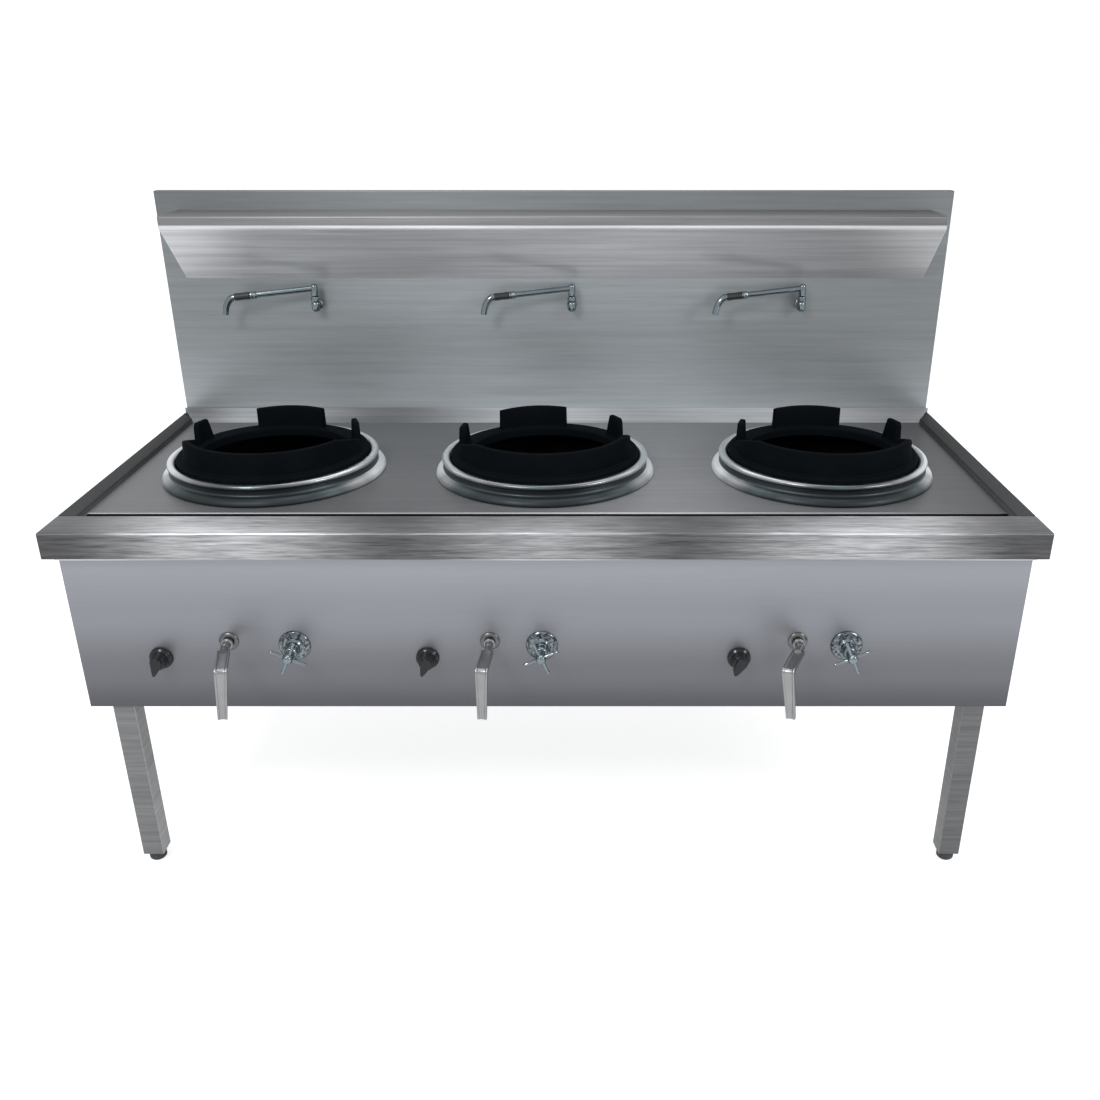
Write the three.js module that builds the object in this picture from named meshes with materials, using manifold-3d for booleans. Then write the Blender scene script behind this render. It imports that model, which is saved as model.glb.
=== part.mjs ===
// Three-burner gas wok range: folded stainless worktop with a front gutter, a splashback with a
// sloping shelf, an apron with the gas and water controls, three cast wok rings in chromed collars,
// three swinging water spouts, four square legs on screw feet.
// Millimetres, +Z up. Inside this file Y = 0 is the worktop's front edge and Z = 0 the floor; the
// exported group is shifted in Y so that its origin is under the middle of the whole object.

import * as THREE from 'three';
import { mergeVertices } from 'three/addons/utils/BufferGeometryUtils.js';
import Module from 'manifold-3d';

const wasm = await Module();
wasm.setup();

// ---------------------------------------------------------------- driving dimensions

// Overall.
const WIDTH = 1800;
const DEPTH = 800;
const RIM_HEIGHT = 750;
const SPLASH_RISE = 508;
const SHEET = 1.5;
const SEAT = 0.3;               // gap kept between pieces that touch

// Worktop.
const EDGE_DROP = 50;
const FRONT_RAIL_DEPTH = 86;
const SIDE_RAIL_WIDTH = 36;
const DECK_DROP = 10;
const GUTTER_WIDTH = 40;
const GUTTER_DEPTH = 42;
const UPSTAND_RUN = 58;
const UPSTAND_RISE = 21;
const UPSTAND_FLANGE = 46;
const DRAIN_R = 16;
const DRAIN_WALL = 2;
const DRAIN_LENGTH = 18;
const DRAIN_FROM_END = 160;

// Splashback and its shelf.
const SPLASH_THICK = 25;
const SPLASH_INSET = 5;           // from each end of the worktop
const SHELF_INSET = 45;           // from each end of the splashback
const SHELF_REACH = 123;
const SHELF_LIP = 27;
const SHELF_SLOPE_DROP = 123;
const SHELF_BELOW_TOP = 41;

// Body below the worktop.
const BODY_INSET = 22;            // from each end of the worktop
const APRON_SETBACK = 20;
const APRON_HEIGHT = 318;
const APRON_HEM = 3.5;
const APRON_HEM_REACH = 16;
const FLOOR_ABOVE_HEM = 15;
const VENT_R = 70;

// Legs and screw feet.
const LEG = 42;
const LEG_WALL = 2;
const LEG_INSET = 36;
const LEG_SETBACK = 30;
const LEG_FROM_SPLASH = 8;
const LEG_PLUG = 4;
const FOOT_HEIGHT = 22;
const FOOT_R = 17;
const FOOT_SOLE_R = 13;
const FOOT_STEM_R = 5;
const FOOT_STEM = 30;

// Burners.
const BURNER_END_MARGIN = 300;
const BURNER_SHIFTS = [-9, -13, -4];   // how far each stands from an even spacing
const BURNER_FROM_GUTTER = 248;
const COLLAR_R = 208;
const COLLAR_FOOT_FLARE = 17;
const COLLAR_FOOT_EDGE = 4;
const COLLAR_FOOT_RISE = 16;
const COLLAR_RIM_ROLL = 4;
const COLLAR_RIM_HEIGHT = 10;
const COLLAR_HEIGHT = 39;
const COLLAR_WALL = 13;
const COLLAR_SKIRT = 3;
const COLLAR_TUCK = 9;
const COLLAR_SHELF_DROP = 11;
const COLLAR_SHELF_THICK = 3;
const COLLAR_LEDGE = 9.5;
const RING_BASE_CLEARANCE = 2;
const RING_BASE_THICK = 16.5;
const RING_BASE_WIDTH = 42.5;
const RING_WALL_INSET = 17;
const RING_WALL_THICK = 12;
const RING_WALL_HEIGHT = 45;
const RING_SIDE_HEIGHT = 12;
const RING_SPIGOT = 12;
const SPIGOT_CLEARANCE = 1.5;
const HORN_START = 36;
const HORN_LENGTH = 40;
const HORN_TOP = 30;
const BACK_PLATE_WIDTH = 148;
const BACK_PLATE_ARCH = 2.5;
const RING_TURNS = [1, 11, 1.5];   // how the loose rings happen to lie
const FIREBOX_ROOM = 5;
const FIREBOX_WALL = 3;
const FIREBOX_BORE_R = 55;
const BURNER_R = 62;
const BURNER_FLANGE_R = 75;
const BURNER_HEIGHT = 50;
const BURNER_INLET_R = 18;

// Gas and water controls: sideways offsets from each burner's centre, heights above the hem.
const KNOB_OFFSETS = [-152, -212, -200.5];
const LEVER_OFFSETS = [-20.5, -94, -93];
const TAP_OFFSETS = [101, 3, -1];
const KNOB_HEIGHT = 108;
const LEVER_HEIGHT = 143;
const TAP_HEIGHT = 134;
const VALVE_LENGTH = 40;
const VALVE_R = 14;
const LEVER_VALVE_R = 15;
const TAP_VALVE_R = 16;
const SLEEVE_R = 11.7;
const STEM_R = 4;
const RUNNING = 0.4;            // radial clearance of turning stems
const KNOB_SKIRT_R = 22;
const KNOB_SKIRT = 7;
const KNOB_BODY_R = 16;
const KNOB_DEPTH = 34;
const KNOB_GRIP_R = 12;
const KNOB_GRIP_RISE = 4;
const KNOB_POINTER = 24;
const KNOB_POINT_WIDTH = 5;
const KNOB_TURNS = [-17, -22, -25];
const ESCUTCHEON_R = 18.5;
const ESCUTCHEON_THICK = 5;
const LEVER_STEM_R = 8;
const LEVER_BOSS = 24;
const LEVER_NECK = 14;
const LEVER_REACH = 116;
const LEVER_BAR_WIDTH = 23;
const LEVER_BAR_THICK = 8;
const LEVER_DROP = 99;
const LEVER_BEND_R = 12;
const LEVER_GROOVE = 12;
const LEVER_GROOVE_DEPTH = 1.6;
const LEVER_SPLAYS = [-12.5, 4, 25];  // how far each bar is set to the left
const LEVER_LEANS = [5.5, 1.5, -7];   // how far each hanging end leans to the left
const FLANGE_R = 30;
const FLANGE_THICK = 6;
const BONNET_R = 12.5;
const BONNET_LENGTH = 34;
const HANDLE_HUB_R = 10;
const HANDLE_HUB_LENGTH = 27;
const HANDLE_ARM_R = 3.5;
const HANDLE_ARM_LENGTH = 36;
const HANDLE_TURNS = [-24, 24, 24];

// Pipework behind the apron.
const MANIFOLD_R = 14;
const MANIFOLD_BORE_R = 10;
const MANIFOLD_SETBACK = 75;
const MANIFOLD_HEIGHT = 125;
const FEED_R = 9;
const HEADER_R = 11;
const HEADER_BORE_R = 8;
const HEADER_ABOVE_TAPS = 45;
const HEADER_DROP_FROM_KNOB = 65;
const WATER_R = 7;
const PIPE_CLEARANCE = 11;
const BORE_DEPTH = 40;
const STRAP_WIDTH = 12;
const STRAP_THICK = 3;

// Water spouts on the splashback.
const SPOUT_OFFSETS = [22, 52, 8];
const SPOUT_STANDOFF = 25;
const SPOUT_BASE_R = 10;
const SPOUT_BASE_BELOW_TOP = 262;
const SPOUT_BASE_LENGTH = 34;
const SPOUT_TAIL_R = 8;
const SPOUT_ROSE_R = 11.5;
const SPOUT_ROSE_THICK = 3;
const SPOUT_PIN_LENGTH = 20;
const SPOUT_SLEEVE_R = 8;
const SPOUT_SLEEVE_LENGTH = 28;
const SPOUT_ARM_R = 6.5;
const SPOUT_ARM_DROP = 10;
const SPOUT_ARM_DROOP = 5;
const SPOUT_ARM_LENGTH = 131;
const SPOUT_FERRULE = 13;
const SPOUT_FERRULE_R = 9;
const SPOUT_GRIP = 36;
const SPOUT_GRIP_R = 8.5;
const SPOUT_CORE_R = 5.5;
const SPOUT_NOZZLE_R = 7.5;
const SPOUT_NOZZLE_BORE_R = 5.5;
const SPOUT_NOZZLE_OUT = 27;
const SPOUT_NOZZLE_DOWN = 36;
const SPOUT_ANGLE = 8;

// Roundness of turned pieces.
const RING_SEGMENTS = 24;
const SMALL_SEGMENTS = 12;
const PIPE_SEGMENTS = 8;
const KNOB_SEGMENTS = 16;

// How far a cutting solid reaches past the face it cuts.
const PAST = 5;

// ---------------------------------------------------------------- derived positions

const HALF = WIDTH / 2;
const RAIL_BOTTOM = RIM_HEIGHT - EDGE_DROP;
const RAIL_INNER_X = HALF - SIDE_RAIL_WIDTH;
const DECK_Z = RIM_HEIGHT - DECK_DROP;
const DECK_FRONT_Y = FRONT_RAIL_DEPTH + GUTTER_WIDTH;
const GUTTER_Y = FRONT_RAIL_DEPTH + GUTTER_WIDTH / 2;
const GUTTER_Z = DECK_Z - GUTTER_DEPTH;
const DRAIN_X = RAIL_INNER_X - DRAIN_FROM_END;
const SPLASH_FRONT_Y = DEPTH - SPLASH_THICK;
const SPLASH_TOP = RIM_HEIGHT + SPLASH_RISE;
const SPLASH_HALF = HALF - SPLASH_INSET;
const SHELF_HALF = SPLASH_HALF - SHELF_INSET;
const UPSTAND_REAR_Y = SPLASH_FRONT_Y - SEAT;
const UPSTAND_FRONT_Y = UPSTAND_REAR_Y - UPSTAND_RUN;

const BODY_TOP = RAIL_BOTTOM - SEAT;
const HEM_Z = RAIL_BOTTOM - APRON_HEIGHT;
const APRON_REAR_Y = APRON_SETBACK + SHEET;
const BEHIND_APRON = APRON_REAR_Y + SEAT;
const BODY_HALF = HALF - BODY_INSET;
const RETURN_LIP = LEG_SETBACK - APRON_SETBACK - SEAT;
const FLOOR_Z = HEM_Z + FLOOR_ABOVE_HEM;

const LEG_OUTER_X = BODY_HALF - LEG_INSET;
const LEG_INNER_X = LEG_OUTER_X - LEG;
const LEG_BOTTOM = FOOT_HEIGHT + SEAT;
const LEG_REAR_Y = UPSTAND_REAR_Y - LEG_FROM_SPLASH - LEG;
const REAR_LEG_TOP = DECK_Z - SHEET + (LEG_REAR_Y - UPSTAND_FRONT_Y) * UPSTAND_RISE / UPSTAND_RUN - SEAT;

const BURNER_PITCH = (WIDTH - 2 * SIDE_RAIL_WIDTH - 2 * BURNER_END_MARGIN) / 2;
const BURNER_Y = DECK_FRONT_Y + BURNER_FROM_GUTTER;
const BURNER_X = BURNER_SHIFTS.map((shift, i) => shift + (i - 1) * BURNER_PITCH);
const SIDES = ['left', 'centre', 'right'];
const COLLAR_TOP = DECK_Z + SEAT + COLLAR_HEIGHT;
const COLLAR_FOOT_R = COLLAR_R + COLLAR_FOOT_FLARE;
const COLLAR_RIM_R = COLLAR_R + COLLAR_RIM_ROLL;
const COLLAR_INNER_R = COLLAR_R - COLLAR_WALL;
const COLLAR_BORE_R = COLLAR_INNER_R - COLLAR_LEDGE;
const COLLAR_SKIRT_R = COLLAR_INNER_R + COLLAR_SKIRT;
const DECK_HOLE_R = COLLAR_SKIRT_R + 2 * SEAT;
const FIREBOX_R = DECK_HOLE_R + FIREBOX_ROOM + FIREBOX_WALL;
const RING_BASE_R = COLLAR_INNER_R - RING_BASE_CLEARANCE;
const RING_BORE_R = RING_BASE_R - RING_BASE_WIDTH;
const RING_WALL_R = RING_BASE_R - RING_WALL_INSET;
const COLLAR_SHELF_Z = COLLAR_TOP - COLLAR_SHELF_DROP;
const RING_BASE_Z = COLLAR_SHELF_Z + SEAT;
const RING_BASE_TOP = RING_BASE_Z + RING_BASE_THICK;
const RING_TOP = RING_BASE_TOP + RING_WALL_HEIGHT;

const KNOB_Z = HEM_Z + KNOB_HEIGHT;
const LEVER_Z = HEM_Z + LEVER_HEIGHT;
const TAP_Z = HEM_Z + TAP_HEIGHT;
const KNOB_X = BURNER_X.map((x, i) => x + KNOB_OFFSETS[i]);
const LEVER_X = BURNER_X.map((x, i) => x + LEVER_OFFSETS[i]);
const TAP_X = BURNER_X.map((x, i) => x + TAP_OFFSETS[i]);
const VALVE_REAR_Y = BEHIND_APRON + VALVE_LENGTH;
const VALVE_MID_Y = BEHIND_APRON + VALVE_LENGTH / 2;
const SLEEVE_HOLE_R = SLEEVE_R + SEAT;
const STEM_HOLE_R = STEM_R + RUNNING;
const LEVER_FRONT_Y = APRON_SETBACK - LEVER_REACH;
const LEVER_BOSS_Y = APRON_SETBACK - ESCUTCHEON_THICK - LEVER_BOSS;
const SPLAYS = LEVER_SPLAYS.map((degrees) => THREE.MathUtils.degToRad(degrees));
const LEANS = LEVER_LEANS.map((degrees) => THREE.MathUtils.degToRad(degrees));
const FRONTMOST_Y = Math.min(...SPLAYS.map((splay) => LEVER_BOSS_Y
  - (LEVER_BOSS_Y - LEVER_FRONT_Y) * Math.cos(splay) - (LEVER_BAR_WIDTH / 2) * Math.abs(Math.sin(splay))));

const MANIFOLD_Y = APRON_SETBACK + MANIFOLD_SETBACK;
const MANIFOLD_Z = HEM_Z + MANIFOLD_HEIGHT;
const GAS_INLET_X = LEG_INNER_X - PIPE_CLEARANCE - MANIFOLD_R;
const FIREBOX_FLOOR_Z = MANIFOLD_Z + MANIFOLD_R + PIPE_CLEARANCE;
const BURNER_SEAT_Z = FIREBOX_FLOOR_Z + FIREBOX_WALL + SEAT;
const BURNER_INLET_Z = FIREBOX_FLOOR_Z - MANIFOLD_R - PIPE_CLEARANCE - MANIFOLD_R;
const FEED_Z = MANIFOLD_Z - MANIFOLD_R - 2 * PIPE_CLEARANCE - 2 * FEED_R - PIPE_CLEARANCE;
const HEADER_Z = TAP_Z + HEADER_ABOVE_TAPS;
const HEADER_START_X = KNOB_X[0] + HEADER_DROP_FROM_KNOB;
const WATER_INLET_Z = FEED_Z + FEED_R;
const WATER_Z = FLOOR_Z + SHEET + PIPE_CLEARANCE + WATER_R;
const WATER_RISER_Y = SPLASH_FRONT_Y + SPLASH_THICK / 2;

const SPOUT_X = BURNER_X.map((x, i) => x + SPOUT_OFFSETS[i]);
const SPOUT_Y = SPLASH_FRONT_Y - SPOUT_STANDOFF;
const SPOUT_BASE_Z = SPLASH_TOP - SPOUT_BASE_BELOW_TOP;
const SPOUT_BASE_TOP = SPOUT_BASE_Z + SPOUT_BASE_LENGTH;
const SPOUT_TAIL_Z = SPOUT_BASE_Z + SPOUT_TAIL_R + 4;
const SPOUT_TOP = SPOUT_BASE_TOP + SEAT + SPOUT_SLEEVE_LENGTH;
const SPOUT_ARM_Z = SPOUT_TOP - SPOUT_ARM_DROP;

const ORIGIN_Y = (FRONTMOST_Y + DEPTH) / 2;

// ---------------------------------------------------------------- solids from three.js shapes

function solidOf(geometry) {
  const bare = geometry.clone();
  bare.deleteAttribute('normal');
  bare.deleteAttribute('uv');
  const merged = mergeVertices(bare, 1e-4);
  const vertProperties = new Float32Array(merged.attributes.position.array);
  const triVerts = new Uint32Array(merged.index.array);
  return new wasm.Manifold(new wasm.Mesh({ numProp: 3, vertProperties, triVerts }));
}

function geometryOf(solid) {
  const mesh = solid.getMesh();
  const geometry = new THREE.BufferGeometry();
  geometry.setAttribute('position', new THREE.BufferAttribute(new Float32Array(mesh.vertProperties), 3));
  geometry.setIndex(new THREE.BufferAttribute(new Uint32Array(mesh.triVerts), 1));
  geometry.computeVertexNormals();
  return geometry;
}

function box(x0, x1, y0, y1, z0, z1) {
  const geometry = new THREE.BoxGeometry(x1 - x0, y1 - y0, z1 - z0);
  geometry.translate((x0 + x1) / 2, (y0 + y1) / 2, (z0 + z1) / 2);
  return solidOf(geometry);
}

function outline(points) {
  return new THREE.Shape(points.map(([u, v]) => new THREE.Vector2(u, v)));
}

// A plan outline (X, Y) raised from z0 to z1.
function prismZ(points, z0, z1) {
  const geometry = new THREE.ExtrudeGeometry(outline(points), { depth: z1 - z0, bevelEnabled: false });
  geometry.translate(0, 0, z0);
  return solidOf(geometry);
}

// A side outline (Y, Z) drawn out from x0 to x1.
function prismX(points, x0, x1) {
  const geometry = new THREE.ExtrudeGeometry(outline(points), { depth: x1 - x0, bevelEnabled: false });
  geometry.applyMatrix4(new THREE.Matrix4().set(0, 0, 1, x0, 1, 0, 0, 0, 0, 1, 0, 0, 0, 0, 0, 1));
  return solidOf(geometry);
}

// A front outline (X, Z) drawn back from y0 to y1.
function prismY(points, y0, y1) {
  const geometry = new THREE.ExtrudeGeometry(outline(points), { depth: y1 - y0, bevelEnabled: false });
  geometry.applyMatrix4(new THREE.Matrix4().set(1, 0, 0, 0, 0, 0, -1, y1, 0, 1, 0, 0, 0, 0, 0, 1));
  return solidOf(geometry);
}

// A closed profile of (radius, height) pairs turned about an upright axis at (x, y).
function turned(profile, x, y, segments) {
  const points = profile.map(([r, z]) => new THREE.Vector2(r, z));
  const closed = profile[0][0] === 0 ? points : [...points, points[0].clone()];
  const geometry = new THREE.LatheGeometry(closed, segments);
  geometry.rotateX(Math.PI / 2);
  geometry.translate(x, y, 0);
  return outward(geometry);
}

// The same profile turned about an axis along Y through (x, z); heights become distances along Y.
function turnedY(profile, x, z, segments) {
  const points = profile.map(([r, y]) => new THREE.Vector2(r, y));
  const closed = profile[0][0] === 0 ? points : [...points, points[0].clone()];
  const geometry = new THREE.LatheGeometry(closed, segments);
  geometry.translate(x, 0, z);
  return outward(geometry);
}

// Turns a solid's faces outwards where its profile ran the other way round.
function outward(geometry) {
  const solid = solidOf(geometry);
  if (solid.volume() > 0) {
    return solid;
  }
  const index = geometry.index.array;
  for (let i = 0; i < index.length; i += 3) {
    [index[i], index[i + 1]] = [index[i + 1], index[i]];
  }
  return solidOf(geometry);
}

// A round bar between two points.
function rod(from, to, radius, segments = SMALL_SEGMENTS) {
  const a = new THREE.Vector3(...from);
  const b = new THREE.Vector3(...to);
  const along = b.clone().sub(a);
  const geometry = new THREE.CylinderGeometry(radius, radius, along.length(), segments);
  geometry.translate(0, along.length() / 2, 0);
  geometry.applyQuaternion(new THREE.Quaternion().setFromUnitVectors(
    new THREE.Vector3(0, 1, 0), along.normalize()));
  geometry.translate(a.x, a.y, a.z);
  return solidOf(geometry);
}

// Straight pipe runs with a block elbow at each corner.
function pipe(points, radius) {
  const runs = points.slice(1).map((point, i) => rod(points[i], point, radius, PIPE_SEGMENTS));
  const half = radius * 1.15;
  const elbows = points.slice(1, -1).map(([x, y, z]) => box(
    x - half, x + half, y - half, y + half, z - half, z + half));
  return [...runs, ...elbows].reduce((whole, piece) => whole.add(piece));
}

// A round tube swept along a smooth curve.
function sweptTube(curve, radius, steps) {
  const circle = new THREE.Shape();
  circle.absarc(0, 0, radius, 0, 2 * Math.PI, false);
  const geometry = new THREE.ExtrudeGeometry(circle, {
    extrudePath: curve, steps, curveSegments: 5, bevelEnabled: false });
  return outward(geometry.index ? geometry : mergeVertices(stripped(geometry), 1e-4));
}

function stripped(geometry) {
  geometry.deleteAttribute('normal');
  geometry.deleteAttribute('uv');
  return geometry;
}

function placed(solid, place) {
  return solid.transform(place.elements);
}

// ---------------------------------------------------------------- materials and the scene graph

const FINISHES = {
  brushed: { color: 0x8f9395, roughness: 0.38, metalness: 0.9 },
  satin: { color: 0x94979c, roughness: 0.5, metalness: 0.8 },
  rail: { color: 0x9a9d9f, roughness: 0.32, metalness: 0.9 },
  galvanised: { color: 0x8b8f91, roughness: 0.6, metalness: 0.7 },
  chrome: { color: 0xc4cbd0, roughness: 0.12, metalness: 1.0 },
  castIron: { color: 0x101416, roughness: 0.75, metalness: 0.3 },
  brass: { color: 0xb0904a, roughness: 0.4, metalness: 0.9 },
  blackPlastic: { color: 0x17191b, roughness: 0.45, metalness: 0.0 },
  pipe: { color: 0x9c9488, roughness: 0.5, metalness: 0.8 },
};

const range = new THREE.Group();
range.position.y = -ORIGIN_Y;

function addNode(name, solid, finish) {
  const mesh = new THREE.Mesh(geometryOf(solid), new THREE.MeshStandardMaterial(FINISHES[finish]));
  mesh.name = name;
  range.add(mesh);
}

function union(solids) {
  return solids.reduce((whole, piece) => whole.add(piece));
}

function without(solid, cutters) {
  return cutters.reduce((left, cutter) => left.subtract(cutter), solid);
}

// ---------------------------------------------------------------- worktop

// A rail folded down on every side: a plan outline with walls one sheet thick and an open underside.
function foldedRail(plan, innerPlan) {
  return prismZ(plan, RAIL_BOTTOM, RIM_HEIGHT).subtract(
    prismZ(innerPlan, RAIL_BOTTOM - PAST, RIM_HEIGHT - SHEET));
}

function frontRail() {
  const plan = [[-HALF, 0], [HALF, 0], [HALF, FRONT_RAIL_DEPTH], [-HALF, FRONT_RAIL_DEPTH]];
  const inner = [[-HALF + SHEET, SHEET], [HALF - SHEET, SHEET],
    [HALF - SHEET, FRONT_RAIL_DEPTH - SHEET], [-HALF + SHEET, FRONT_RAIL_DEPTH - SHEET]];
  return foldedRail(plan, inner);
}

// side is -1 for the left rail and 1 for the right one; the rear end is mitred to the upstand.
function sideRail(side) {
  const front = FRONT_RAIL_DEPTH + SEAT;
  const plan = [[RAIL_INNER_X, front], [HALF, front], [HALF, UPSTAND_REAR_Y], [RAIL_INNER_X, UPSTAND_FRONT_Y]];
  const slope = (UPSTAND_REAR_Y - UPSTAND_FRONT_Y) / SIDE_RAIL_WIDTH;
  const mitreAt = (x) => UPSTAND_FRONT_Y + (x - RAIL_INNER_X) * slope - 2 * SHEET;
  const x0 = RAIL_INNER_X + SHEET;
  const x1 = HALF - SHEET;
  const inner = [[x0, front + SHEET], [x1, front + SHEET], [x1, mitreAt(x1)], [x0, mitreAt(x0)]];
  const rail = foldedRail(plan, inner);
  return side > 0 ? rail : rail.mirror([1, 0, 0]);
}

function deckPlate() {
  const x = RAIL_INNER_X - SEAT;
  const plate = box(-x, x, DECK_FRONT_Y, UPSTAND_FRONT_Y - SEAT, DECK_Z - SHEET, DECK_Z);
  const fold = box(-x, x, DECK_FRONT_Y, DECK_FRONT_Y + SHEET, GUTTER_Z, DECK_Z);
  const holes = BURNER_X.map((bx) => turned(
    [[0, DECK_Z - PAST], [DECK_HOLE_R, DECK_Z - PAST], [DECK_HOLE_R, DECK_Z + PAST], [0, DECK_Z + PAST]],
    bx, BURNER_Y, RING_SEGMENTS));
  return without(union([plate, fold, gutter()]), holes).subtract(drainBore());
}

// The sloping strip between the deck and the splashback, mitred into the side rails.
function rearUpstand() {
  const top = DECK_Z + UPSTAND_RISE;
  const profile = [
    [UPSTAND_FRONT_Y, DECK_Z - SHEET], [UPSTAND_FRONT_Y, DECK_Z], [UPSTAND_REAR_Y, top],
    [UPSTAND_REAR_Y, top - UPSTAND_FLANGE], [UPSTAND_REAR_Y - SHEET, top - UPSTAND_FLANGE],
    [UPSTAND_REAR_Y - SHEET, top - 2 * SHEET]];
  const x0 = RAIL_INNER_X - SEAT;
  const x1 = HALF - SEAT;
  const plan = [[-x0, UPSTAND_FRONT_Y], [x0, UPSTAND_FRONT_Y], [x1, UPSTAND_REAR_Y], [-x1, UPSTAND_REAR_Y]];
  const mitred = prismZ(plan, DECK_Z - UPSTAND_FLANGE, top + PAST);
  return prismX(profile, -HALF, HALF).intersect(mitred.translate([0, SEAT, 0]));
}

// The gutter folded along the deck's front edge, with its drain spigot.
function gutter() {
  const x = RAIL_INNER_X - SEAT;
  const y0 = FRONT_RAIL_DEPTH + SEAT;
  const z1 = DECK_Z - 2 * SHEET;
  const trough = box(-x, x, y0, DECK_FRONT_Y + SHEET, GUTTER_Z, z1).subtract(
    box(-x + SHEET, x - SHEET, y0 + SHEET, DECK_FRONT_Y, GUTTER_Z + SHEET, z1 + PAST));
  const spigot = rod([DRAIN_X, GUTTER_Y, GUTTER_Z - DRAIN_LENGTH], [DRAIN_X, GUTTER_Y, GUTTER_Z + SHEET / 2],
    DRAIN_R);
  return trough.add(spigot);
}

function drainBore() {
  return rod([DRAIN_X, GUTTER_Y, GUTTER_Z - DRAIN_LENGTH - PAST], [DRAIN_X, GUTTER_Y, GUTTER_Z + 2 * SHEET],
    DRAIN_R - DRAIN_WALL);
}

addNode('front_rail', frontRail(), 'rail');
addNode('left_rail', sideRail(-1), 'rail');
addNode('right_rail', sideRail(1), 'rail');
addNode('deck_plate', deckPlate(), 'brushed');
addNode('rear_upstand', rearUpstand(), 'rail');

// ---------------------------------------------------------------- splashback and shelf

// Hollow double-skinned panel with holes for the water pipes.
function splashback() {
  const z0 = RAIL_BOTTOM + SEAT;
  const casing = box(-SPLASH_HALF, SPLASH_HALF, SPLASH_FRONT_Y, DEPTH, z0, SPLASH_TOP).subtract(box(
    -SPLASH_HALF + SHEET, SPLASH_HALF - SHEET, SPLASH_FRONT_Y + SHEET, DEPTH - SHEET, z0 + SHEET, SPLASH_TOP - SHEET));
  const tailHoles = SPOUT_X.map((x) => rod(
    [x, SPLASH_FRONT_Y - PAST, SPOUT_TAIL_Z], [x, SPLASH_FRONT_Y + PAST, SPOUT_TAIL_Z], SPOUT_TAIL_R + SEAT));
  const pipeHoles = SPOUT_X.map((x) => rod(
    [x, WATER_RISER_Y, z0 - PAST], [x, WATER_RISER_Y, z0 + PAST], WATER_R + SEAT, PIPE_SEGMENTS));
  return without(casing, [...tailHoles, ...pipeHoles]);
}

// Folded sheet shelf with a flat top, an upright lip and a sloping underside; closed ends, open at
// the back where it lies against the splashback.
function splashShelf() {
  const y1 = SPLASH_FRONT_Y - SEAT;
  const y0 = SPLASH_FRONT_Y - SHELF_REACH;
  const top = SPLASH_TOP - SHELF_BELOW_TOP;
  const lipBottom = top - SHELF_LIP;
  const bottom = lipBottom - SHELF_SLOPE_DROP;
  const half = SHELF_HALF;
  const outer = [[y0, top], [y0, lipBottom], [y1, bottom], [y1, top]];
  const inner = [[y0 + SHEET, top - SHEET], [y0 + SHEET, lipBottom + SHEET / 2],
    [y1 + PAST, bottom + 2 * SHEET], [y1 + PAST, top - SHEET]];
  return prismX(outer, -half, half).subtract(prismX(inner, -half + SHEET, half - SHEET));
}

addNode('splashback', splashback(), 'brushed');
addNode('splash_shelf', splashShelf(), 'rail');

// ---------------------------------------------------------------- body panels

function frontPanel() {
  const sheet = box(-BODY_HALF, BODY_HALF, APRON_SETBACK, APRON_REAR_Y, HEM_Z, BODY_TOP);
  const hem = box(-BODY_HALF, BODY_HALF, APRON_SETBACK - APRON_HEM_REACH, APRON_REAR_Y,
    BODY_TOP - APRON_HEM, BODY_TOP);
  const lip = box(-BODY_HALF, BODY_HALF, APRON_SETBACK, APRON_SETBACK + RETURN_LIP, HEM_Z, HEM_Z + SHEET);
  const through = (x, z, r) => rod([x, APRON_SETBACK - PAST, z], [x, APRON_REAR_Y + PAST, z], r);
  const holes = [
    ...KNOB_X.map((x) => through(x, KNOB_Z, STEM_HOLE_R + SEAT)),
    ...LEVER_X.map((x) => through(x, LEVER_Z, SLEEVE_HOLE_R)),
    ...TAP_X.map((x) => through(x, TAP_Z, SLEEVE_HOLE_R))];
  return without(union([sheet, hem, lip]), holes);
}

// side is -1 for the left panel and 1 for the right one.
function sidePanel(side) {
  const y0 = BEHIND_APRON;
  const y1 = DEPTH - SHEET - SEAT;
  const lipFront = APRON_SETBACK + RETURN_LIP + SEAT;
  const sheet = box(BODY_HALF - SHEET, BODY_HALF, y0, y1, HEM_Z, BODY_TOP);
  const flange = box(BODY_HALF - SHEET, HALF - SHEET, y0, y1, BODY_TOP - SHEET, BODY_TOP);
  const lip = box(BODY_HALF - RETURN_LIP, BODY_HALF, lipFront, y1, HEM_Z, HEM_Z + SHEET);
  const notch = box(0, HALF, 0, lipFront, HEM_Z - PAST, HEM_Z + SHEET + SEAT);
  const panel = union([sheet, flange, lip]).subtract(notch);
  return side > 0 ? panel : panel.mirror([1, 0, 0]);
}

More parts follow.
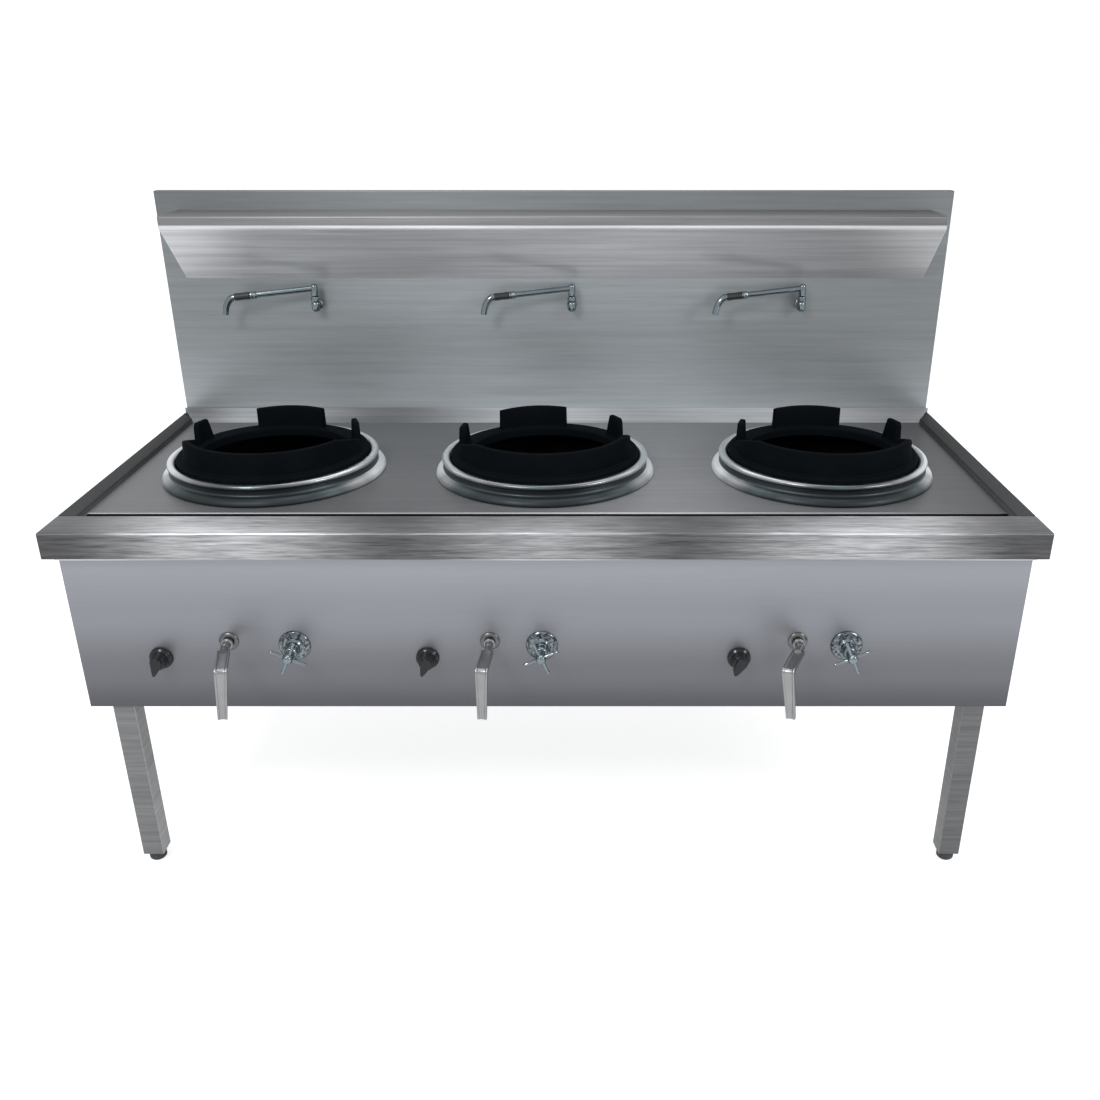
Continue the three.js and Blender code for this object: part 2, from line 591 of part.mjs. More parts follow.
// One sheet folded across the bottom and up the back.
function baseAndBackPanel() {
  const x = BODY_HALF - SHEET - SEAT;
  const base = box(-x, x, BEHIND_APRON, DEPTH, FLOOR_Z, FLOOR_Z + SHEET);
  const back = box(-BODY_HALF, BODY_HALF, DEPTH - SHEET, DEPTH, HEM_Z, RAIL_BOTTOM);
  const legHoles = LEG_PLACES.map((leg) => legBox(leg.side, leg.y, SEAT, FLOOR_Z - PAST, FLOOR_Z + PAST));
  const vents = BURNER_X.map((bx) => rod(
    [bx, BURNER_Y, FLOOR_Z - PAST], [bx, BURNER_Y, FLOOR_Z + PAST], VENT_R, KNOB_SEGMENTS));
  const gas = rod([GAS_INLET_X, DEPTH - PAST, MANIFOLD_Z], [GAS_INLET_X, DEPTH + PAST, MANIFOLD_Z], MANIFOLD_R + SEAT,
    PIPE_SEGMENTS);
  const water = rod([HEADER_START_X, DEPTH - PAST, WATER_INLET_Z], [HEADER_START_X, DEPTH + PAST, WATER_INLET_Z],
    HEADER_R + SEAT, PIPE_SEGMENTS);
  return without(base.add(back), [gas, water, ...legHoles, ...vents]);
}

function legBox(sideX, y0, grow, z0, z1) {
  const x0 = sideX > 0 ? LEG_INNER_X : -LEG_OUTER_X;
  return box(x0 - grow, x0 + LEG + grow, y0 - grow, y0 + LEG + grow, z0, z1);
}

const LEG_PLACES = [
  { name: 'front_left', side: -1, y: LEG_SETBACK, top: RIM_HEIGHT - SHEET - SEAT },
  { name: 'front_right', side: 1, y: LEG_SETBACK, top: RIM_HEIGHT - SHEET - SEAT },
  { name: 'rear_left', side: -1, y: LEG_REAR_Y, top: REAR_LEG_TOP },
  { name: 'rear_right', side: 1, y: LEG_REAR_Y, top: REAR_LEG_TOP },
];

addNode('front_panel', frontPanel(), 'satin');
addNode('left_side_panel', sidePanel(-1), 'satin');
addNode('right_side_panel', sidePanel(1), 'satin');
addNode('base_and_back_panel', baseAndBackPanel(), 'galvanised');

// ---------------------------------------------------------------- legs and feet

// Square tube closed below by a threaded plug plate.
function leg(place) {
  const centreX = place.side * (LEG_OUTER_X - LEG / 2);
  const centreY = place.y + LEG / 2;
  const tube = legBox(place.side, place.y, 0, LEG_BOTTOM, place.top).subtract(
    legBox(place.side, place.y, -LEG_WALL, LEG_BOTTOM + LEG_PLUG, place.top + PAST));
  const thread = rod([centreX, centreY, 0], [centreX, centreY, LEG_BOTTOM + 2 * LEG_PLUG],
    FOOT_STEM_R + RUNNING);
  return tube.subtract(thread);
}

function screwFoot(place) {
  const chamfer = FOOT_R - FOOT_SOLE_R;
  return turned([
    [0, 0], [FOOT_SOLE_R, 0], [FOOT_R, chamfer], [FOOT_R, FOOT_HEIGHT],
    [FOOT_STEM_R, FOOT_HEIGHT], [FOOT_STEM_R, FOOT_HEIGHT + FOOT_STEM], [0, FOOT_HEIGHT + FOOT_STEM]],
  place.side * (LEG_OUTER_X - LEG / 2), place.y + LEG / 2, SMALL_SEGMENTS);
}

for (const place of LEG_PLACES) {
  addNode(`leg_${place.name}`, leg(place), 'brushed');
  addNode(`foot_${place.name}`, screwFoot(place), 'blackPlastic');
}

// ---------------------------------------------------------------- burners

// Pressed collar on the deck: flared foot, neck, rolled rim, and an inner shelf for the casting.
function collar(x) {
  const foot = DECK_Z + SEAT;
  const inner = COLLAR_INNER_R;
  const skirt = COLLAR_SKIRT_R;
  return turned([
    [inner, foot - COLLAR_TUCK], [skirt, foot - COLLAR_TUCK], [skirt, foot], [COLLAR_FOOT_R, foot],
    [COLLAR_FOOT_R, foot + COLLAR_FOOT_EDGE],
    [COLLAR_FOOT_R - COLLAR_FOOT_FLARE / 6, foot + (COLLAR_FOOT_EDGE + COLLAR_FOOT_RISE) / 2],
    [COLLAR_R + COLLAR_FOOT_FLARE / 2, foot + COLLAR_FOOT_RISE - COLLAR_FOOT_EDGE / 2],
    [COLLAR_R, foot + COLLAR_FOOT_RISE], [COLLAR_R, COLLAR_TOP - COLLAR_RIM_HEIGHT],
    [COLLAR_RIM_R, COLLAR_TOP - COLLAR_RIM_HEIGHT + COLLAR_RIM_ROLL], [COLLAR_RIM_R, COLLAR_TOP - COLLAR_RIM_ROLL],
    [COLLAR_RIM_R - COLLAR_RIM_ROLL, COLLAR_TOP], [inner + COLLAR_RIM_ROLL, COLLAR_TOP],
    [inner, COLLAR_TOP - COLLAR_RIM_ROLL], [inner, COLLAR_SHELF_Z],
    [COLLAR_BORE_R, COLLAR_SHELF_Z], [COLLAR_BORE_R, COLLAR_SHELF_Z - COLLAR_SHELF_THICK],
    [inner, COLLAR_SHELF_Z - COLLAR_SHELF_THICK - SHEET]], x, BURNER_Y, RING_SEGMENTS);
}

// Cast ring: flat base, spigot below it, and one upright wall cut away to leave a front band whose
// ends fall towards the sides, a horn at each side and a broad plate at the back.
function wokRing(x, turnDegrees) {
  const spigotR = COLLAR_BORE_R - SPIGOT_CLEARANCE;
  const base = turned([
    [RING_BORE_R, RING_BASE_Z], [spigotR - 8, RING_BASE_Z], [spigotR - 8, RING_BASE_Z - RING_SPIGOT],
    [spigotR, RING_BASE_Z - RING_SPIGOT], [spigotR, RING_BASE_Z], [RING_BASE_R, RING_BASE_Z],
    [RING_BASE_R, RING_BASE_TOP - 4], [RING_BASE_R - 3, RING_BASE_TOP], [RING_BORE_R + 4, RING_BASE_TOP],
    [RING_BORE_R, RING_BASE_TOP - 4]], 0, 0, RING_SEGMENTS);
  const wall = turned([
    [RING_WALL_R - RING_WALL_THICK, RING_BASE_TOP - 4], [RING_WALL_R + 2, RING_BASE_TOP - 4],
    [RING_WALL_R, RING_TOP - 3], [RING_WALL_R - 3, RING_TOP],
    [RING_WALL_R - RING_WALL_THICK + 3, RING_TOP], [RING_WALL_R - RING_WALL_THICK, RING_TOP - 3]],
  0, 0, RING_SEGMENTS);
  const low = RING_BASE_TOP - 8;
  const side = RING_BASE_TOP + RING_SIDE_HEIGHT;
  const hornEnd = HORN_START + HORN_LENGTH;
  const bandEnd = -RING_WALL_R / 2;
  const frontAndHorns = prismX([
    [-RING_BASE_R, low], [hornEnd + 6, low], [hornEnd + 6, RING_BASE_TOP], [HORN_START + HORN_TOP + 5, RING_TOP + 2],
    [HORN_START + 4, RING_TOP + 2], [HORN_START, RING_TOP - 4], [HORN_START, side],
    [HORN_START - 6, side], [bandEnd, RING_TOP], [bandEnd, RING_TOP + 2],
    [-RING_BASE_R, RING_TOP + 2]], -RING_BASE_R, RING_BASE_R);
  const half = BACK_PLATE_WIDTH / 2;
  const arch = [-1, -0.6, -0.2, 0.2, 0.6, 1].map((t) => [-t * half, RING_TOP - BACK_PLATE_ARCH * t * t]);
  const backPlate = prismY([[-half, low], [half, low], ...arch], RING_WALL_R / 2, RING_BASE_R);
  const features = wall.intersect(frontAndHorns).add(wall.intersect(backPlate));
  return base.add(features).rotate([0, 0, turnDegrees]).translate([x, BURNER_Y, 0]);
}

function firebox(x) {
  const top = DECK_Z - SHEET - SEAT;
  const floor = FIREBOX_FLOOR_Z + FIREBOX_WALL;
  return turned([
    [FIREBOX_BORE_R, FIREBOX_FLOOR_Z], [FIREBOX_R, FIREBOX_FLOOR_Z], [FIREBOX_R, top],
    [FIREBOX_R - FIREBOX_WALL, top], [FIREBOX_R - FIREBOX_WALL, floor], [FIREBOX_BORE_R, floor]],
  x, BURNER_Y, RING_SEGMENTS);
}

// Burner casting whose flange lies on the firebox floor.
function burnerHead(x) {
  const top = BURNER_SEAT_Z + BURNER_HEIGHT;
  const neck = FIREBOX_BORE_R - 5;
  return turned([
    [0, BURNER_INLET_Z], [BURNER_INLET_R, BURNER_INLET_Z], [BURNER_INLET_R, FIREBOX_FLOOR_Z - 12],
    [neck, FIREBOX_FLOOR_Z - 2], [neck, BURNER_SEAT_Z], [BURNER_FLANGE_R, BURNER_SEAT_Z],
    [BURNER_FLANGE_R, BURNER_SEAT_Z + 6], [BURNER_R, BURNER_SEAT_Z + 8], [BURNER_R, top - 15],
    [BURNER_R - 12, top - 3], [BURNER_R / 2, top], [0, top]], x, BURNER_Y, SMALL_SEGMENTS);
}

SIDES.forEach((name, i) => {
  addNode(`collar_${name}`, collar(BURNER_X[i]), 'chrome');
  addNode(`wok_ring_${name}`, wokRing(BURNER_X[i], RING_TURNS[i]), 'castIron');
  addNode(`firebox_${name}`, firebox(BURNER_X[i]), 'satin');
  addNode(`burner_${name}`, burnerHead(BURNER_X[i]), 'castIron');
});

// ---------------------------------------------------------------- gas and water controls

function gasValve(x) {
  const body = rod([x, BEHIND_APRON, KNOB_Z], [x, VALVE_REAR_Y, KNOB_Z], VALVE_R);
  const flange = rod([x, BEHIND_APRON, KNOB_Z], [x, BEHIND_APRON + 4, KNOB_Z], VALVE_R + 6);
  const bore = rod([x, BEHIND_APRON - 1, KNOB_Z], [x, BEHIND_APRON + 12, KNOB_Z], STEM_HOLE_R);
  return body.add(flange).subtract(bore);
}

// Skirted knob with a drop-shaped grip that ends in a pointer, and the stem that turns in the valve.
function gasKnob(x, turnDegrees) {
  const back = APRON_SETBACK - 2 * SEAT;
  const skirtFront = back - KNOB_SKIRT;
  const front = back - KNOB_DEPTH;
  const body = turnedY([
    [0, back], [KNOB_SKIRT_R, back], [KNOB_SKIRT_R, skirtFront + 2], [KNOB_SKIRT_R - 3, skirtFront],
    [KNOB_BODY_R, skirtFront - 3], [KNOB_BODY_R - 2, front + 8], [0, front + 8]], 0, 0, KNOB_SEGMENTS);
  const top = [-20, 20, 55, 90, 125, 160, 200].map((degrees) => {
    const angle = THREE.MathUtils.degToRad(degrees);
    return [KNOB_GRIP_R * Math.cos(angle), KNOB_GRIP_RISE + KNOB_GRIP_R * Math.sin(angle)];
  });
  const point = [[-KNOB_POINT_WIDTH / 2, -KNOB_POINTER], [KNOB_POINT_WIDTH / 2, -KNOB_POINTER]];
  const grip = prismY([...top, ...point], front, skirtFront - 4);
  const stem = rod([0, back - 1, 0], [0, BEHIND_APRON + 10, 0], STEM_R);
  const turn = new THREE.Matrix4().makeTranslation(x, 0, KNOB_Z).multiply(
    new THREE.Matrix4().makeRotationY(THREE.MathUtils.degToRad(-turnDegrees)));
  return placed(union([body, grip, stem]), turn);
}

// Valve behind the apron, its sleeve through it and the escutcheon in front.
function leverValve(x) {
  const body = rod([x, BEHIND_APRON, LEVER_Z], [x, VALVE_REAR_Y, LEVER_Z], LEVER_VALVE_R);
  const front = APRON_SETBACK - SEAT;
  const sleeve = rod([x, front - 1, LEVER_Z], [x, BEHIND_APRON + 1, LEVER_Z], SLEEVE_R);
  const escutcheon = turnedY([
    [0, front], [ESCUTCHEON_R, front], [ESCUTCHEON_R - 1.5, front - ESCUTCHEON_THICK / 2],
    [ESCUTCHEON_R - 6, front - ESCUTCHEON_THICK], [0, front - ESCUTCHEON_THICK]], x, LEVER_Z, KNOB_SEGMENTS);
  const bore = rod([x, front - 10, LEVER_Z], [x, VALVE_MID_Y + 2, LEVER_Z], LEVER_STEM_R + RUNNING);
  return union([body, sleeve, escutcheon]).subtract(bore);
}

// Knee lever: turned stem and neck, then a channelled bar that runs forward and bends down.
function kneeLever(x, splayed, leaning) {
  const reach = LEVER_FRONT_Y;
  const bossFront = LEVER_BOSS_Y;
  const stem = rod([0, VALVE_MID_Y, 0], [0, bossFront, 0], LEVER_STEM_R);
  const half = LEVER_BAR_THICK / 2;
  const start = bossFront - LEVER_NECK;
  const neck = rod([0, bossFront + SHEET, 0], [0, start - PAST, 0], LEVER_STEM_R);
  const arc = (radius, cy, cz) => [0, 0.25, 0.5, 0.75, 1].map((t) => {
    const a = Math.PI / 2 + t * Math.PI / 2;
    return [cy + radius * Math.cos(a), cz + radius * Math.sin(a)];
  });
  const cy = reach + LEVER_BEND_R;
  const cz = half - LEVER_BEND_R;
  const bar = prismX([
    [start, half], ...arc(LEVER_BEND_R, cy, cz), [reach, -LEVER_DROP + 3], [reach + 3, -LEVER_DROP],
    [reach + LEVER_BAR_THICK, -LEVER_DROP], ...arc(LEVER_BEND_R - LEVER_BAR_THICK, cy, cz).reverse(),
    [start, -half]], -LEVER_BAR_WIDTH / 2, LEVER_BAR_WIDTH / 2);
  const outside = (offset) => [
    [start - PAST, half - offset], ...arc(LEVER_BEND_R - offset, cy, cz), [reach + offset, -LEVER_DROP + 2 * PAST]];
  const groove = prismX([
    ...outside(LEVER_GROOVE_DEPTH), [reach - PAST, -LEVER_DROP + 2 * PAST], [reach - PAST, half + PAST],
    [start - PAST, half + PAST]], -LEVER_GROOVE / 2, LEVER_GROOVE / 2);
  const pose = new THREE.Matrix4().makeRotationY(leaning).multiply(
    new THREE.Matrix4().makeTranslation(0, bossFront, 0)).multiply(
    new THREE.Matrix4().makeRotationZ(-splayed)).multiply(
    new THREE.Matrix4().makeTranslation(0, -bossFront, 0));
  const collarRing = rod([0, bossFront + LEVER_BOSS - 3, 0], [0, bossFront + LEVER_BOSS / 2 - 2, 0],
    LEVER_STEM_R + 3);
  const lever = union([stem, collarRing, placed(bar.subtract(groove).add(neck), pose)]);
  return lever.translate([x, 0, LEVER_Z]);
}

// Water valve with its sleeve, wall flange and bonnet.
function waterValve(x) {
  const front = APRON_SETBACK - SEAT;
  const bonnetFront = front - BONNET_LENGTH;
  const body = rod([x, BEHIND_APRON, TAP_Z], [x, VALVE_REAR_Y, TAP_Z], TAP_VALVE_R);
  const sleeve = rod([x, front - 1, TAP_Z], [x, BEHIND_APRON + 1, TAP_Z], SLEEVE_R);
  const bonnet = turnedY([
    [0, front], [FLANGE_R, front], [FLANGE_R - 2, front - FLANGE_THICK / 2],
    [BONNET_R + 5, front - FLANGE_THICK], [BONNET_R, front - FLANGE_THICK - 3],
    [BONNET_R, bonnetFront + 8], [BONNET_R - 3, bonnetFront], [0, bonnetFront]], x, TAP_Z, KNOB_SEGMENTS);
  const bore = rod([x, bonnetFront - 1, TAP_Z], [x, front - 8, TAP_Z], STEM_HOLE_R);
  return union([body, sleeve, bonnet]).subtract(bore);
}

// Cross handle: hub, four thin round arms and its stem.
function crossHandle(x, turnDegrees) {
  const back = APRON_SETBACK - SEAT - BONNET_LENGTH - SEAT;
  const front = back - HANDLE_HUB_LENGTH;
  const hub = turnedY([
    [0, back], [HANDLE_HUB_R - 2, back], [HANDLE_HUB_R, back - 6], [HANDLE_HUB_R, front + 6],
    [HANDLE_HUB_R - 4, front + 1], [0, front]], 0, 0, SMALL_SEGMENTS);
  const armY = front + HANDLE_HUB_LENGTH * 0.4;
  const arms = [0, 1, 2, 3].map((quarter) => {
    const angle = THREE.MathUtils.degToRad(turnDegrees + 90 * quarter);
    const tip = [HANDLE_ARM_LENGTH * Math.cos(angle), armY, HANDLE_ARM_LENGTH * Math.sin(angle)];
    return rod([0, armY, 0], tip, HANDLE_ARM_R, PIPE_SEGMENTS);
  });
  const stem = rod([0, back - 2, 0], [0, back + BONNET_LENGTH / 2, 0], STEM_R);
  return union([hub, stem, ...arms]).translate([x, 0, TAP_Z]);
}

SIDES.forEach((name, i) => {
  addNode(`gas_valve_${name}`, gasValve(KNOB_X[i]), 'brass');
  addNode(`gas_knob_${name}`, gasKnob(KNOB_X[i], KNOB_TURNS[i]), 'blackPlastic');
  addNode(`lever_valve_${name}`, leverValve(LEVER_X[i]), 'chrome');
  addNode(`knee_lever_${name}`, kneeLever(LEVER_X[i], SPLAYS[i], LEANS[i]), 'chrome');
  addNode(`water_valve_${name}`, waterValve(TAP_X[i]), 'chrome');
  addNode(`cross_handle_${name}`, crossHandle(TAP_X[i], HANDLE_TURNS[i]), 'chrome');
});

// ---------------------------------------------------------------- pipework

// Gas manifold with a boss to each valve, its inlet at the back, and one feed pipe to each burner,
// strapped to the manifold.
function gasPipework() {
  const main = pipe([[KNOB_X[0] - 40, MANIFOLD_Y, MANIFOLD_Z], [GAS_INLET_X, MANIFOLD_Y, MANIFOLD_Z],
    [GAS_INLET_X, DEPTH, MANIFOLD_Z]], MANIFOLD_R);
  const boss = (x, z) => rod([x, VALVE_REAR_Y + SEAT, z], [x, MANIFOLD_Y, z], VALVE_R - 4, PIPE_SEGMENTS);
  const bosses = [...KNOB_X.map((x) => boss(x, KNOB_Z)), ...LEVER_X.map((x) => boss(x, LEVER_Z))];
  const inlet = rod([GAS_INLET_X, DEPTH - BORE_DEPTH, MANIFOLD_Z], [GAS_INLET_X, DEPTH + 1, MANIFOLD_Z],
    MANIFOLD_BORE_R, PIPE_SEGMENTS);
  const feeds = LEVER_X.map((x, i) => pipe([
    [x, VALVE_MID_Y, LEVER_Z - LEVER_VALVE_R - SEAT], [x, VALVE_MID_Y, FEED_Z],
    [BURNER_X[i], BURNER_Y, FEED_Z], [BURNER_X[i], BURNER_Y, BURNER_INLET_Z - SEAT]], FEED_R));
  const straps = LEVER_X.map((x) => box(x - STRAP_WIDTH / 2, x + STRAP_WIDTH / 2, VALVE_MID_Y, MANIFOLD_Y,
    MANIFOLD_Z - STRAP_THICK - PIPE_CLEARANCE / 2, MANIFOLD_Z - PIPE_CLEARANCE / 2));
  return union([main, ...bosses, ...feeds, ...straps]).subtract(inlet);
}

// Water header with a boss to each tap, its inlet at the back, and one riser to each spout, strapped
// to the header behind its tap.
function waterPipework() {
  const main = pipe([[TAP_X[2], VALVE_MID_Y, HEADER_Z], [HEADER_START_X, VALVE_MID_Y, HEADER_Z],
    [HEADER_START_X, VALVE_MID_Y, WATER_INLET_Z], [HEADER_START_X, DEPTH, WATER_INLET_Z]], HEADER_R);
  const bosses = TAP_X.map((x) => rod(
    [x, VALVE_MID_Y, TAP_Z + TAP_VALVE_R + SEAT], [x, VALVE_MID_Y, HEADER_Z], HEADER_R - 3, PIPE_SEGMENTS));
  const inlet = rod([HEADER_START_X, DEPTH - BORE_DEPTH, WATER_INLET_Z],
    [HEADER_START_X, DEPTH + 1, WATER_INLET_Z], HEADER_BORE_R, PIPE_SEGMENTS);
  const risers = TAP_X.map((x, i) => pipe([
    [x, VALVE_MID_Y, TAP_Z - TAP_VALVE_R - SEAT], [x, VALVE_MID_Y, WATER_Z],
    [SPOUT_X[i], WATER_RISER_Y, WATER_Z],
    [SPOUT_X[i], WATER_RISER_Y, SPOUT_TAIL_Z - SPOUT_TAIL_R - SEAT]], WATER_R));
  const strapY = VALVE_REAR_Y + SHEET;
  const strapTop = HEADER_Z + STRAP_THICK / 2;
  const strapBottom = TAP_Z - TAP_VALVE_R - PIPE_CLEARANCE;
  const straps = TAP_X.map((x) => box(
    x - STRAP_WIDTH / 2, x + STRAP_WIDTH / 2, VALVE_MID_Y, strapY + STRAP_THICK, strapBottom, strapTop).subtract(
    box(x - STRAP_WIDTH, x + STRAP_WIDTH, VALVE_MID_Y - 1, strapY, strapBottom + STRAP_THICK,
      strapTop - STRAP_THICK)));
  return union([main, ...bosses, ...risers, ...straps]).subtract(inlet);
}

addNode('gas_pipework', gasPipework(), 'pipe');
addNode('water_pipework', waterPipework(), 'pipe');

// ---------------------------------------------------------------- water spouts

function spoutBase(x) {
  const body = turned([
    [0, SPOUT_BASE_Z], [SPOUT_BASE_R - 4, SPOUT_BASE_Z], [SPOUT_BASE_R, SPOUT_BASE_Z + 4],
    [SPOUT_BASE_R, SPOUT_BASE_TOP - 1.5], [SPOUT_BASE_R - 1.5, SPOUT_BASE_TOP], [0, SPOUT_BASE_TOP]],
  x, SPOUT_Y, SMALL_SEGMENTS);
  const tail = rod([x, SPOUT_Y, SPOUT_TAIL_Z], [x, WATER_RISER_Y + WATER_R, SPOUT_TAIL_Z], SPOUT_TAIL_R);
  const roseBack = SPLASH_FRONT_Y - SEAT;
  const rose = rod([x, roseBack - SPOUT_ROSE_THICK, SPOUT_TAIL_Z], [x, roseBack, SPOUT_TAIL_Z], SPOUT_ROSE_R);
  const bore = rod([x, SPOUT_Y, SPOUT_BASE_TOP - SPOUT_PIN_LENGTH - 1], [x, SPOUT_Y, SPOUT_BASE_TOP + 1],
    STEM_HOLE_R);
  return union([body, tail, rose]).subtract(bore);
}

// A spout is drawn along +X from the riser's axis at height 0, then swung to its place. The arm and
// all that is on it droop from the sleeve.
function swung(solid, x) {
  const place = new THREE.Matrix4().makeTranslation(x, SPOUT_Y, SPOUT_ARM_Z).multiply(
    new THREE.Matrix4().makeRotationZ(THREE.MathUtils.degToRad(180 + SPOUT_ANGLE)));
  return placed(solid, place);
}

function drooped(solid) {
  return placed(solid, new THREE.Matrix4().makeRotationY(THREE.MathUtils.degToRad(SPOUT_ARM_DROOP)));
}

const GRIP_START = SPOUT_ARM_LENGTH + SPOUT_FERRULE;
const GRIP_END = GRIP_START + SPOUT_GRIP;

function spoutArm(x) {
  const sleeveBottom = SPOUT_BASE_TOP + SEAT - SPOUT_ARM_Z;
  const top = SPOUT_TOP - SPOUT_ARM_Z;
  const sleeve = turned([
    [0, sleeveBottom], [SPOUT_SLEEVE_R, sleeveBottom], [SPOUT_SLEEVE_R, top - 4],
    [SPOUT_SLEEVE_R - 3, top - 1], [0, top]], 0, 0, SMALL_SEGMENTS);
  const pin = rod([0, 0, sleeveBottom - SPOUT_PIN_LENGTH], [0, 0, sleeveBottom + 1], STEM_R);
  const tube = rod([0, 0, 0], [SPOUT_ARM_LENGTH + 2, 0, 0], SPOUT_ARM_R);
  const ferrule = rod([SPOUT_ARM_LENGTH, 0, 0], [GRIP_START, 0, 0], SPOUT_FERRULE_R);
  const core = rod([GRIP_START - 1, 0, 0], [GRIP_END + 1, 0, 0], SPOUT_CORE_R);
  const nozzleEnd = new THREE.Vector3(GRIP_END + SPOUT_NOZZLE_OUT, 0, -SPOUT_NOZZLE_DOWN);
  const curve = new THREE.CubicBezierCurve3(
    new THREE.Vector3(GRIP_END, 0, 0), new THREE.Vector3(GRIP_END + SPOUT_NOZZLE_OUT * 0.5, 0, 0),
    new THREE.Vector3(GRIP_END + SPOUT_NOZZLE_OUT * 0.88, 0, -SPOUT_NOZZLE_DOWN * 0.5), nozzleEnd);
  const nozzle = sweptTube(curve, SPOUT_NOZZLE_R, 6);
  const tangent = curve.getTangent(1).multiplyScalar(10);
  const mouthIn = nozzleEnd.clone().sub(tangent);
  const mouthOut = nozzleEnd.clone().add(tangent);
  const bore = rod(mouthIn.toArray(), mouthOut.toArray(), SPOUT_NOZZLE_BORE_R, 12);
  const arm = drooped(union([tube, ferrule, core, nozzle]).subtract(bore));
  return swung(union([sleeve, pin, arm]), x);
}

function spoutGrip(x) {
  const start = GRIP_START + SEAT;
  const end = GRIP_END - SEAT;
  const sleeve = rod([start, 0, 0], [end, 0, 0], SPOUT_GRIP_R);
  const bore = rod([start - 1, 0, 0], [end + 1, 0, 0], SPOUT_CORE_R + SEAT);
  return swung(drooped(sleeve.subtract(bore)), x);
}

SIDES.forEach((name, i) => {
  addNode(`spout_base_${name}`, spoutBase(SPOUT_X[i]), 'chrome');
  addNode(`spout_arm_${name}`, spoutArm(SPOUT_X[i]), 'chrome');
  addNode(`spout_grip_${name}`, spoutGrip(SPOUT_X[i]), 'blackPlastic');
});

export default range;
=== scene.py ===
"""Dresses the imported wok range: sheet-metal worktop, splashback, apron, cast rings, taps and spouts.

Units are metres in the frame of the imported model: +X to the cook's right, +Y back, +Z up, floor at 0.
"""

import logging
import math
from dataclasses import dataclass
from enum import Enum
from typing import Callable, Sequence

import bmesh
import bpy
from mathutils import Euler, Matrix, Vector


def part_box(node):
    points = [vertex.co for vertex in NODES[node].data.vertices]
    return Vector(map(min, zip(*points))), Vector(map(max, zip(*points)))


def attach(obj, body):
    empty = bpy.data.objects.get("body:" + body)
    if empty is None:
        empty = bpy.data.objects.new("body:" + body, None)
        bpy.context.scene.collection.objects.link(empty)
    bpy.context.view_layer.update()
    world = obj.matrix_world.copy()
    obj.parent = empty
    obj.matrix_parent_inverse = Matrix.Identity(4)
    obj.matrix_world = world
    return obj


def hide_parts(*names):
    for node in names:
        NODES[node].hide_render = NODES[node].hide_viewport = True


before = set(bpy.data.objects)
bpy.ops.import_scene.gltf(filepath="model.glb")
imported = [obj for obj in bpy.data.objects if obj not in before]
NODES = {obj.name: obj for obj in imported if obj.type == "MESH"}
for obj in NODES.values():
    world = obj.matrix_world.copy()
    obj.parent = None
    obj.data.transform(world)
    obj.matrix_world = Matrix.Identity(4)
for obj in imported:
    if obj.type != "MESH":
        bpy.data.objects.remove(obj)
LOG = logging.getLogger("wok_range")

BODY = "range_body"
SIDES = ("left", "centre", "right")
ENDS = ("left", "right")
CORNERS = ("front_left", "front_right", "rear_left", "rear_right")

SHEET = 0.0015  # thickness of the folded sheet metal
HEM_REACH = 0.016  # how far the hem strip stands out in front of the apron
CLEAR = 0.0003  # gap that keeps a plate from lying in the apron's face
ON_PLANE = 1e-5  # a point this near to a plane counts as on it
DOUBLES = 1e-6  # points nearer than this are merged
SHARP_ANGLE = math.radians(38)  # edges that turn by more than this are shaded sharp
BEVEL_ANGLE = math.radians(35)  # edges that turn by more than this are rounded by bevelled
BEVEL_SEGMENTS = 3
FOLD_SEGMENTS = 4
OPEN_SIDE = 0.95  # how nearly a face must look the open way to be taken out
SIDEWAYS = 0.7  # how nearly a face must look along X to have its brush lines turned
CORNER_SHARE = 0.45  # a rounding takes up at most this share of the sides that it joins
MIX_FIRST, MIX_SECOND, MIX_COLOUR = 6, 7, 2  # places of a Mix node's colour sockets
PLAIN, FULL, RICH = 2.0, 3.0, 4.0  # how much detail a noise pattern has

Point = tuple[float, float]
Profile = tuple[Point, ...]
Colour = tuple[float, float, float]
Shade = float | Colour
Stop = tuple[float, Shade]
Piece = bpy.types.Object
Face = bpy.types.MeshPolygon
Edge = bmesh.types.BMEdge
Socket = bpy.types.NodeSocket
Feed = Socket | float | Sequence[float]
Feeds = dict[str | int, Feed]
Station = tuple[Vector, Vector, float]


class Axis(Enum):
    """A direction of the model's frame, by its place in a vector."""

    X = 0
    Y = 1
    Z = 2


# ---------------------------------------------------------------- places and outlines


def centre(node: str) -> tuple[float, float, float]:
    """The middle of a CAD node's box."""
    low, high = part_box(node)
    return (low.x + high.x) / 2, (low.y + high.y) / 2, (low.z + high.z) / 2


def apron_face() -> float:
    """Where along Y the apron's front face is: the node's box starts at the hem, in front of it."""
    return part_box("front_panel")[0].y + HEM_REACH


def rectangle(left: float, low: float, right: float, high: float) -> list[Point]:
    """The corners of an upright rectangle, in order."""
    return [(left, low), (right, low), (right, high), (left, high)]


def placed(offsets: Profile, radius: float, height: float) -> list[Point]:
    """A part of a profile, given as (radius, height) offsets, set at a radius and a height."""
    return [(radius + r, height + z) for r, z in offsets]


